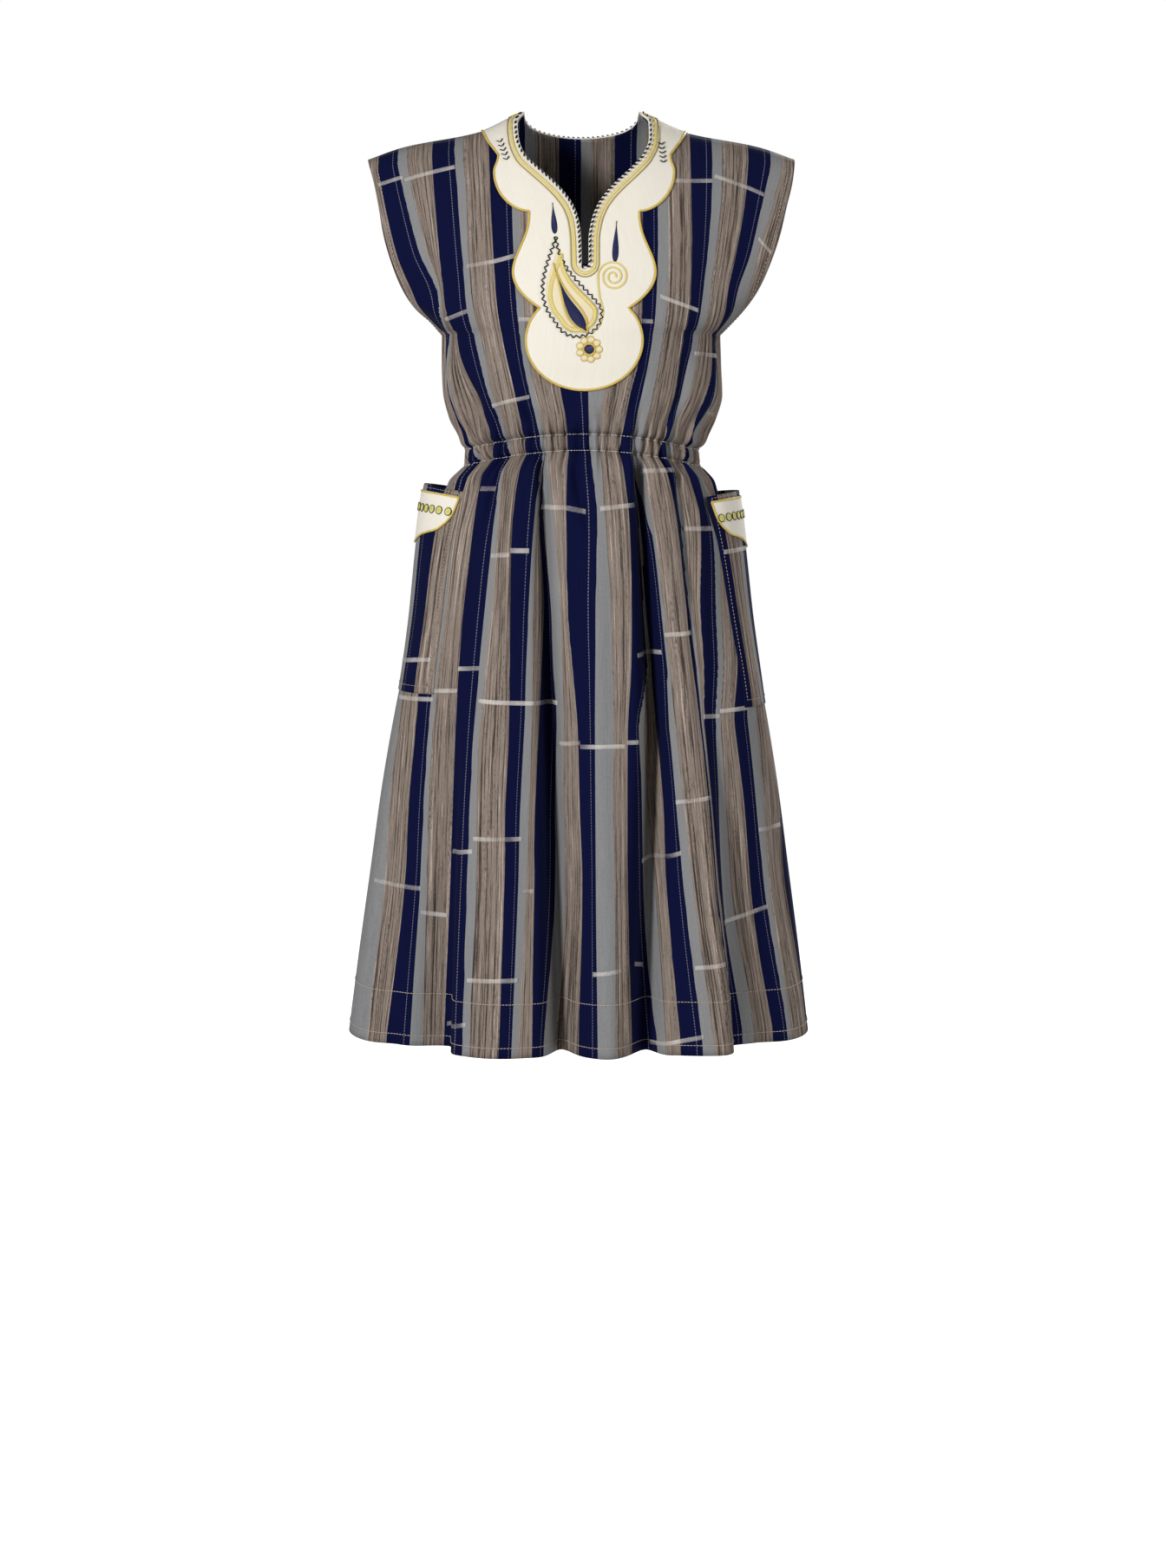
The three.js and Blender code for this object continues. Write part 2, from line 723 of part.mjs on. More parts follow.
const frontPanel = toSolid(wall(frontGrid, insideOut)).subtract(frontNeckCutter);
const backPanel = toSolid(wall(backGrid, insideOut)).subtract(backNeckCutter);

// The rows and columns of a panel that a piece near the neck can cover.
function neckRegion(grid, lowest, widest) {
  const middleColumn = Math.round(grid.rows[0].length / 2);
  const lastRow = grid.rows.findIndex((row) => row[middleColumn].z < lowest);
  const columns = grid.rows[0]
    .map((_, column) => column)
    .filter((column) => grid.rows.slice(0, lastRow).some((row) => Math.abs(row[column].x) < widest));
  const first = Math.max(columns[0] - 1, 0);
  const last = Math.min(columns[columns.length - 1] + 1, grid.rows[0].length - 1);
  return subGrid(grid, [0, lastRow], [first, last]);
}

const YOKE_INNER = SEAM_GAP;
const YOKE_OUTER = YOKE_INNER + APPLIQUE_WALL;
const BINDING_INNER = YOKE_OUTER + SEAM_GAP;
const BINDING_OUTER = BINDING_INNER + BINDING_WALL;

// How far beyond a piece's outline the part of the panel that it is made from goes.
const SPARE = 12;
const YOKE_REGION = YOKE_SHOULDER.half + SPARE;
const BINDING_REGION = -FRONT_NECK[1].left + BINDING_WIDTH + SPARE;

function yokePiece(grid, edge, neckCutter, lowest, from, to) {
  const layer = toSolid(wall(neckRegion(grid, lowest, YOKE_REGION), () => [YOKE_INNER, YOKE_OUTER]));
  return layer.intersect(prism(closedAbove(edge), "y", from, to)).subtract(neckCutter);
}

function bindingPiece(grid, edge, neckCutter, lowest, from, to) {
  const region = neckRegion(grid, lowest, BINDING_REGION);
  const layer = toSolid(wall(region, () => [BINDING_INNER, BINDING_OUTER]));
  const band = prism(closedAbove(spread(edge, BINDING_WIDTH)), "y", from, to);
  return layer.intersect(band).subtract(neckCutter);
}

const yokeLowest = YOKE_FOOT.height - YOKE_FOOT.drop - SPARE;
const bindingLowest = SLIT_BOTTOM - BINDING_WIDTH - SPARE;
const yokeBackLowest = YOKE_BACK_BOTTOM - SPARE;
const bindingBackLowest = BACK_NECK_BOTTOM - BINDING_WIDTH - SPARE;
const yokeFront = yokePiece(frontGrid, yokeEdge(), frontNeckCutter, yokeLowest, -FAR, 1);
const yokeBack = yokePiece(backGrid, yokeBackEdge(), backNeckCutter, yokeBackLowest, -1, FAR);
const bindingFront = bindingPiece(frontGrid, neckEdge(), frontNeckCutter, bindingLowest, -FAR, 1);
const bindingBack = bindingPiece(backGrid, backNeckEdge(), backNeckCutter, bindingBackLowest, -1, FAR);

// ---------------------------------------------------------------- pockets

// The skirt's points round one side seam, from the front to the back.
function sideGrid(side, rowRange) {
  const frontReach = 12;
  const backReach = 8;
  const rows = [];
  const normals = [];
  for (let row = rowRange[0]; row <= rowRange[1]; row++) {
    const pick = (grid, reach, field) => {
      const line = grid[field][row];
      return side < 0 ? line.slice(0, reach + 1) : line.slice(line.length - 1 - reach).reverse();
    };
    const fromFront = pick(frontGrid, frontReach, "rows").reverse();
    const toBack = pick(backGrid, backReach, "rows");
    rows.push([...fromFront, ...toBack]);
    const frontNormals = pick(frontGrid, frontReach, "normals").reverse();
    normals.push([...frontNormals, ...pick(backGrid, backReach, "normals")]);
  }
  // Seen from outside, the columns run right to left on the left side of the body.
  return { rows, normals, facing: side < 0 ? -1 : 1 };
}

// How far down a pocket a height is, 0 at the mouth and 1 at the bottom.
function pocketFall(pocket, height) {
  return (height - pocket.mouth) / (pocket.bottom - pocket.mouth);
}

// y of the front and back edges of a pocket at a height.
function pocketSpan(pocket, height) {
  const fall = pocketFall(pocket, height);
  return {
    front: THREE.MathUtils.lerp(pocket.frontTop, pocket.frontBottom, fall),
    back: THREE.MathUtils.lerp(pocket.backTop, pocket.backBottom, fall),
  };
}

// How far a pocket stands off the skirt at a point.
function pocketGape(pocket, point) {
  const span = pocketSpan(pocket, point.z);
  const across = THREE.MathUtils.clamp((point.y - span.front) / (span.back - span.front), 0, 1);
  const fall = THREE.MathUtils.clamp(pocketFall(pocket, point.z), 0, 1);
  return pocket.gape * Math.sin(Math.PI * across) ** GAPE_ACROSS * (1 - fall) ** GAPE_DOWN;
}

function pocketEdge(pocket) {
  return [
    [pocket.frontTop, pocket.mouth],
    [pocket.frontBottom, pocket.bottom],
    [pocket.backBottom, pocket.bottom],
    [pocket.backTop, pocket.mouth],
  ];
}

const trimBelow = curve(TRIM_EDGE, "across", "below");

// The trim under a pocket's mouth: straight above, scalloped below, alike to front and back.
function trimEdge(pocket) {
  const steps = 14;
  const front = pocket.frontTop + TRIM_FRONT_INSET;
  const back = pocket.backTop - TRIM_BACK_INSET;
  const middle = (front + back) / 2;
  const lower = [];
  for (let step = 0; step <= 2 * steps; step++) {
    const signed = (step - steps) / steps;
    const across = 1 - Math.abs(signed);
    lower.push([middle + signed * (back - middle), pocket.mouth - trimBelow(across)]);
  }
  const top = pocket.mouth - TRIM_DROP;
  return [[front, top + 1], ...lower, [back, top + 1]];
}

function pocketPieces(pocket) {
  const firstRow = LEVELS.findIndex((level) => level < CASING_BOTTOM);
  const lastRow = LEVELS.findIndex((level) => level < pocket.bottom - 20);
  const grid = sideGrid(pocket.side, [firstRow, lastRow]);
  const layer = (inner, outer, outline) => {
    const solid = toSolid(
      wall(grid, (row, column) => {
        const gape = pocketGape(pocket, grid.rows[row][column]);
        return [gape + inner, gape + outer];
      }),
    );
    const ends = pocket.side < 0 ? [-FAR, 0] : [0, FAR];
    return solid.intersect(prism(outline, "x", ends[0], ends[1]));
  };
  const body = layer(SEAM_GAP, SEAM_GAP + WALL, pocketEdge(pocket));
  const trimInner = SEAM_GAP + WALL + SEAM_GAP;
  const trim = layer(trimInner, trimInner + BINDING_WALL, trimEdge(pocket));
  return [
    part(`pocket_${pocket.name}`, toGeometry(body), STRIPED),
    part(`pocket_trim_${pocket.name}`, toGeometry(trim), CREAM),
  ];
}

// ---------------------------------------------------------------- assembly

const garment = new THREE.Group();
garment.name = "smock_dress";
garment.add(
  part("front", toGeometry(frontPanel), STRIPED),
  part("back", toGeometry(backPanel), STRIPED),
  part("yoke_front", toGeometry(yokeFront), CREAM),
  part("yoke_back", toGeometry(yokeBack), CREAM),
  part("neck_binding_front", toGeometry(bindingFront), SATIN),
  part("neck_binding_back", toGeometry(bindingBack), SATIN),
);
for (const pocket of POCKETS) garment.add(...pocketPieces(pocket));

export default garment;
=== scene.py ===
"""A sleeveless smock dress of striped strip-woven cloth: its cloth, stitching and embroidery.

Sizes are in millimetres, as a maker cuts the garment, and become metres where a mesh is made. The
front faces -Y and the left is -X, as seen from in front. Each panel is one sheet laid out by two
numbers: level, the height of its side edge (0 at the shoulder), and share, the place across it (-1
at the left edge, 0 in the middle, 1 at the right edge).
"""

import math

import bpy
import numpy as np
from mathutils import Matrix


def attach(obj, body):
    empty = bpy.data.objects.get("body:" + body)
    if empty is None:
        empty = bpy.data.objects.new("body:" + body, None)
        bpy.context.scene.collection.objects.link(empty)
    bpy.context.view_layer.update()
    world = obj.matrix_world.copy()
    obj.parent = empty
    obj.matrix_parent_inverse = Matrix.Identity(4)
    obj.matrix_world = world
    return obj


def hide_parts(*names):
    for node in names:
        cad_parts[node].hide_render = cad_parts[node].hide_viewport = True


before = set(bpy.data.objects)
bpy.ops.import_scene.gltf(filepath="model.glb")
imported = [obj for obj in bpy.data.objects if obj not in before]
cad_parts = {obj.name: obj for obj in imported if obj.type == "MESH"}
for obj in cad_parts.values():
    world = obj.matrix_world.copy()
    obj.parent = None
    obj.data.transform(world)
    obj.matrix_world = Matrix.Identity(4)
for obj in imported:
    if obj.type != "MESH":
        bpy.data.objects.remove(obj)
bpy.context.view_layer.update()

MM = 0.001

# ---------------------------------------------------------------- driving sizes

UNDERARM_LEVEL = -229
CASING_TOP = -350
CASING_BOTTOM = -367
HIP_LEVEL = -640
HEM_LEVEL = -977
CASING_RISE = 17
FRONT_HEM_DIP = 5
BACK_HEM_DIP = 6
CLOTH_THICKNESS = 1.1

# Half rings: x of the side seams, the depths, and how square each half ring is (2 is round).
RING_COLUMNS = ["level", "left", "right", "front", "back", "front_power", "back_power"]
RINGS = [
    [-229, -148.3, 147.9, 107, 98, 2.3, 2.3],
    [-262, -148.4, 149.0, 105, 95, 2.3, 2.3],
    [-292, -147.0, 150.3, 101, 92, 2.3, 2.3],
    [-318, -140.5, 143.0, 99, 90, 2.25, 2.25],
    [-340, -127.5, 130.5, 95, 86, 2.2, 2.2],
    [-354, -124.4, 125.6, 93, 84, 2.2, 2.2],
    [-367, -125.5, 127.4, 94, 85, 2.2, 2.2],
    [-385, -141.0, 141.3, 99, 92, 2.25, 2.25],
    [-415, -151.5, 150.5, 107, 101, 2.35, 2.3],
    [-465, -164.0, 162.5, 115, 109, 2.45, 2.35],
    [-520, -176.0, 174.5, 121, 115, 2.5, 2.4],
    [-613, -197.0, 195.5, 129, 124, 2.6, 2.45],
    [-707, -214.3, 211.5, 136, 130, 2.6, 2.45],
    [-802, -228.1, 224.4, 142, 135, 2.6, 2.45],
    [-898, -242.0, 237.3, 147, 140, 2.6, 2.45],
    [-977, -252.6, 246.9, 151, 144, 2.6, 2.45],
]

# The armhole edges. climb is 0 at the underarm and 1 at the shoulder.
ARMHOLE_COLUMNS = ["climb", "left", "right"]
ARMHOLE = [
    [0, -148.3, 147.9],
    [0.07, -159.5, 160.5],
    [0.14, -174.5, 172.5],
    [0.25, -188, 186.5],
    [0.38, -198, 197.5],
    [0.56, -207.8, 209],
    [0.72, -213, 216],
    [0.86, -218.5, 222.5],
    [1, -226.3, 226.4],
]
SHOULDER_REACH = 226.4

# The bodice's middle depth at the underarm, the two powers by which it dies away towards the
# shoulder, and the full depth of its armhole edge, which it has from EDGE_FULL_BY of the climb on.
BODICE_DEPTH = {"front": [107, 1.7, 0.62, 50], "back": [98, 2.3, 0.6, 44]}
EDGE_FULL_BY = 0.4
SHOULDER = [[0, 6], [62, 3], [75, -1.5], [106, -15], [190, -32], [227, -44.8]]

# The large folds of the skirt: x of the middle at the waist, hip and hem, depth inward there, and
# the width of the left and the right flank at the hem. A minus depth is a ridge.
FOLDS = {
    "front": [
        [-44, -34, -22, 18, 36, 42, 12, 16],
        [65, 82, 72, 28, 44, 36, 20, 11],
        [104, 121, 130, 6, 4, 0, 8, 8],
        [87, 115, 148, -3, -7, -10, 16, 16],
        [-78, -84, -92, -2, -8, -18, 42, 42],
        [10, 22, 28, 0, -5, -16, 22, 22],
        [130, 128, 128, 0, -4, -12, 24, 30],
        [-120, -133, -150, 0, 6, 38, 42, 10],
        [128, 142, 172, 0, 4, 28, 10, 36],
        [-140, -180, -208, 0, 0, 8, 14, 14],
        [140, 180, 205, 0, 0, 8, 14, 14],
    ],
    "back": [
        [-18, -30, -44, 7, 18, 30, 17, 20],
        [30, 42, 50, 5, 14, 26, 18, 16],
        [-86, -108, -128, 6, 14, 26, 20, 16],
        [84, 112, 138, 5, 13, 24, 16, 22],
        [4, 6, 4, 0, -5, -12, 24, 24],
        [-60, -72, -86, -2, -6, -12, 22, 20],
        [58, 78, 94, -2, -6, -12, 22, 22],
        [-130, -160, -190, 0, 3, 9, 18, 18],
        [130, 165, 196, 0, 3, 9, 18, 18],
    ],
}
FOLD_START = -352
FOLD_FULL = -400
FOLD_WIDTH_AT_WAIST = 0.45

# The casing: how far its stitch lines draw the cloth in and how wide, how far the channel between
# them stands out, and how far the cloth beyond each line does.
LINE_DRAWN_IN = 2.0
LINE_WIDTH = 2.2
CHANNEL_PUFF = 0.8
BLOUSE = {CASING_TOP: 4.0, CASING_BOTTOM: 2.6}
BLOUSE_REACH = 9.0

# Puckers where the elastic gathers the cloth: share of the middle at the casing, how far each runs
# up and down from it, its depth and its width.
PUCKERS = {
    "front": [
        [-0.94, 60, 70, 8, 4.3],
        [-0.87, 70, 62, 9, 3.6],
        [-0.8, 58, 80, 9.5, 4],
        [-0.7, 44, 62, 9, 3.2],
        [-0.6, 70, 76, 11, 4.2],
        [-0.515, 40, 50, 8, 3.2],
        [-0.47, 60, 92, 11, 4.2],
        [-0.36, 34, 66, 8.5, 3.2],
        [-0.31, 52, 50, 9, 3.6],
        [-0.27, 30, 66, 7.5, 3],
        [-0.23, 40, 48, 8.5, 3.4],
        [-0.17, 26, 70, 8, 3.6],
        [-0.1, 32, 44, 8, 3.2],
        [-0.02, 16, 64, 6, 4],
        [0.05, 24, 52, 6.5, 3.6],
        [0.105, 34, 42, 8, 3.2],
        [0.15, 24, 62, 7.5, 3],
        [0.18, 40, 38, 8, 3],
        [0.23, 26, 56, 7.5, 3.2],
        [0.325, 46, 50, 8.5, 3.8],
        [0.39, 34, 80, 9, 3.6],
        [0.445, 54, 46, 9, 3.4],
        [0.5, 44, 66, 9.5, 3.6],
        [0.565, 50, 74, 10, 4],
        [0.62, 38, 52, 8.5, 3.2],
        [0.66, 62, 60, 9.5, 3.6],
        [0.735, 46, 82, 10, 4.2],
        [0.79, 36, 50, 8, 3.4],
        [0.845, 62, 66, 9.5, 4],
        [0.92, 54, 80, 9, 4.4],
    ],
    "back": [
        [-0.93, 56, 66, 9.2, 4.3],
        [-0.82, 66, 58, 8.8, 3.9],
        [-0.71, 52, 84, 10.5, 3.9],
        [-0.6, 40, 56, 7.6, 3.5],
        [-0.5, 62, 90, 11.4, 4.3],
        [-0.41, 34, 48, 6.7, 3.1],
        [-0.31, 44, 70, 8, 3.5],
        [-0.2, 30, 52, 6.9, 3.1],
        [-0.11, 40, 80, 9.2, 3.9],
        [0.02, 26, 46, 6.4, 3.1],
        [0.12, 38, 66, 7.9, 3.5],
        [0.22, 48, 84, 9.8, 3.9],
        [0.33, 34, 50, 6.8, 3.1],
        [0.43, 54, 74, 9.5, 3.9],
        [0.54, 42, 60, 7.7, 3.5],
        [0.63, 60, 88, 10.6, 3.9],
        [0.74, 44, 56, 8.5, 3.5],
        [0.83, 64, 70, 9.3, 3.9],
        [0.92, 50, 76, 9.5, 4.3],
    ],
}

# A pucker's strength in the middle of the casing, its gain at the stitch lines, its gain and its
# fading beyond them, and how much it widens.
PUCKER_STRENGTH = 0.8
PUCKER_EDGE_GAIN = 0.3
PUCKER_GAIN = 0.9
PUCKER_FADE_POWER = 1.4
PUCKER_WIDENING = 0.9

# Long soft creases: top level and share, middle level and share, bottom level and share, depth
# inward (minus is a ridge) and width.
CREASES = {
    "front": [
        [-190, -0.92, -270, -0.86, -345, -0.79, 7.5, 8],
        [-235, -0.8, -290, -0.76, -346, -0.7, -3.6, 8],
        [-190, 0.92, -270, 0.85, -345, 0.77, 7.5, 8],
        [-240, 0.8, -290, 0.74, -346, 0.68, -3.6, 8],
        [-252, -0.64, -300, -0.59, -347, -0.53, 4.6, 7],
        [-246, 0.57, -300, 0.53, -347, 0.49, 4.6, 7],
        [-266, -0.36, -310, -0.33, -347, -0.3, 3.2, 6],
        [-270, 0.3, -312, 0.28, -347, 0.26, 3.2, 6],
        [-60, -0.74, -130, -0.69, -235, -0.7, 2.6, 14],
        [-60, 0.72, -130, 0.69, -235, 0.7, 2.6, 14],
        [-369, -0.06, -410, -0.01, -455, 0.05, 6, 5],
        [-372, -0.62, -440, -0.56, -520, -0.5, 3.2, 9],
        [-372, 0.52, -440, 0.5, -520, 0.5, 3, 8],
        [-420, -0.3, -560, -0.31, -760, -0.33, -3, 13],
        [-450, 0.16, -620, 0.12, -860, 0.1, 3.4, 15],
        [-520, 0.52, -700, 0.5, -900, 0.5, 3, 12],
        [-640, -0.72, -780, -0.74, -930, -0.76, 4, 14],
        [-660, 0.8, -790, 0.8, -930, 0.82, 4, 14],
    ],
    "back": [
        [-190, -0.88, -270, -0.8, -345, -0.73, 4.5, 10],
        [-190, 0.88, -270, 0.8, -345, 0.73, 4.5, 10],
        [-262, -0.48, -300, -0.45, -347, -0.42, 2.6, 8],
        [-262, 0.5, -300, 0.46, -347, 0.42, 2.6, 8],
        [-90, -0.5, -160, -0.56, -240, -0.62, 2, 16],
        [-90, 0.52, -160, 0.56, -240, 0.62, 2, 16],
        [-372, -0.3, -450, -0.28, -560, -0.27, 3, 9],
        [-372, 0.36, -450, 0.34, -560, 0.33, 3, 9],
        [-460, 0.08, -640, 0.07, -880, 0.08, 3, 13],
    ],
}

# The neck opening with its slit, seen from in front.
NECK = [
    [3, -60.5, 61],
    [-8, -67, 71],
    [-26, -65.5, 71],
    [-43.5, -58.8, 64.4],
    [-57, -45.1, 52.6],
    [-71, -29.5, 37.9],
    [-83.5, -17.7, 26.2],
    [-98, -8, 16.6],
    [-115, -2.4, 10.7],
    [-133, -0.4, 8.1],
    [-157, 0.2, 8.1],
]
SLIT_END = -157
SLIT_BOTTOM = -161
SLIT_MIDDLE = 4.15
BACK_NECK_BOTTOM = -20

# The scalloped yoke: its middle, and the heights and half widths of its cusps and lobes.
YOKE_MIDDLE = 3.2
YOKE_LOBES = [[-43, 89.6, -61, 93.8, -103, 57, 0.55], [-103, 57, -166, 73.7, -203, 45.5, 0.95]]
YOKE_SHOULDER = [108, -15.7]
YOKE_SHOULDER_CURVE = [101, -28]
LOBE_SWELL_POWER = 1.4
YOKE_FOOT_HEIGHT = -236
YOKE_FOOT_HALF = 60.3
YOKE_FOOT_DROP = 51.5
YOKE_BACK_BOTTOM = -66
YOKE_LIFT = 1.5
# Heights on the yoke's outer edge, and the heights on the neck edge that go with them.
YOKE_ANCHORS = [
    [-287.5, -161],
    [-262, -160.7],
    [-236, -159.4],
    [-203, -154],
    [-150, -118],
    [-103, -84],
    [-43, -46],
    [-15.7, 3],
]

# Patch pockets round the side seams: side, mouth and bottom heights, y of the front and back edges
# at the mouth and the bottom, how far the mouth stands off, the strip phase at the front edge,
# which way the strips run and how much wider than the skirt's they are.
POCKETS = {
    "left": [-1, -395, -606, -62, -92, 58, 50, 23, -0.296, 1, 1.35],
    "right": [1, -400, -621, -53.5, -80, 64, 62, 22, 0.2, -1, 1.0],
}
TRIM_DROP = 6.5
CHAIN_HEIGHT = {"left": -417, "right": -424}
RING_RADIUS = 4.2
RING_PITCH = 9.3
CHAIN_START = 0.055
# The trim's lower edge: the place from its end (0) to its middle (1), and the drop below the mouth.
TRIM_EDGE = [
    [0, 6.5],
    [0.012, 19],
    [0.04, 27],
    [0.11, 35],
    [0.22, 41.5],
    [0.4, 45],
    [0.6, 48.5],
    [0.84, 55],
    [1, 58],
]

# ---------------------------------------------------------------- the strips of cloth
#
# The cloth is sewn from narrow woven strips. Each has a navy, a grey and a brown band, and its
# phase counts them in thirds: a whole number where the navy starts, then a third for each band.
# Two tables say where the three bands start, level by level: on the bodice in millimetres along the
# cloth from the middle line, and on the skirt in hundredths of the half width. Above the casing some
# strips are folded away in the pleats, and they open below it.

BAND_WIDTHS = [24, 10, 26]
BODICE_LEVELS = [-20, -70, -130, -190, -229, -260, -300, -335, -367]
SKIRT_LEVELS = [-367, -430, -520, -570, -640, -720, -800, -960]
FRONT_BODICE = [
    [0, "brown", [-242, -236, -228, -220, -215, -212, -205, -185, -167]],
    [1, "navy", [-214, -207, -198, -184, -182, -182, -174, -160, -146]],
    [1, "grey", [-193, -184, -172, -153, -158, -161, -158, -140, -123]],
    [1, "brown", [-184, -176, -164, -150.5, -155, -157, -148, -136, -120]],
    [2, "navy", [-157, -154, -151, -148, -144, -135, -117, -107, -100.5]],
    [2, "grey", [-133, -129, -125, -121.5, -117, -109.5, -99.5, -89, -80.5]],
    [2, "brown", [-125, -121, -119, -115.5, -109.5, -103, -96, -86.8, -77.5]],
    [3, "navy", [-97, -95, -92, -88.5, -84, -78, -70.5, -64.5, -61]],
    [3, "grey", [-76, -72.5, -70.5, -67.5, -64, -60.5, -54, -47, -42.5]],
    [3, "brown", [-67, -64.5, -63, -60.5, -58.5, -55.5, -49, -42, -37.5]],
    [4, "navy", [-29, -29, -28, -27, -26, -24.5, -21.5, -16, -14]],
    [4, "grey", [5, 5, 5, 6, 6.5, 7, 7.5, 8, 9]],
    [4, "brown", [24, 24, 24, 24, 24, 24.5, 24, 19.5, 18.7]],
    [5, "navy", [64, 64, 64.5, 64, 63, 60.5, 52.5, 46, 41]],
    [5, "grey", [79.5, 79.7, 80, 78.5, 75.5, 71, 64.5, 58.3, 55]],
    [5, "brown", [90, 90.3, 91, 89.5, 86.5, 82, 75.5, 69, 66.5]],
    [6, "navy", [114.5, 115, 116, 115.5, 112, 107, 101.5, 96, 87]],
    [6, "grey", [138, 137, 134, 129, 124.5, 118.5, 110, 102.8, 98]],
    [6, "brown", [148, 146.5, 142, 137, 133, 127.5, 117, 106, 103]],
    [7, "navy", [176, 172.5, 165, 158, 158, 154, 140, 128, 121]],
    [7, "grey", [200, 191, 181, 169, 170, 167, 150, 139, 133.5]],
    [7, "brown", [211, 201, 189, 183, 184, 183, 172, 149, 140.5]],
    [8, "navy", [236, 230, 224, 217, 214, 210, 202, 184, 171]],
]
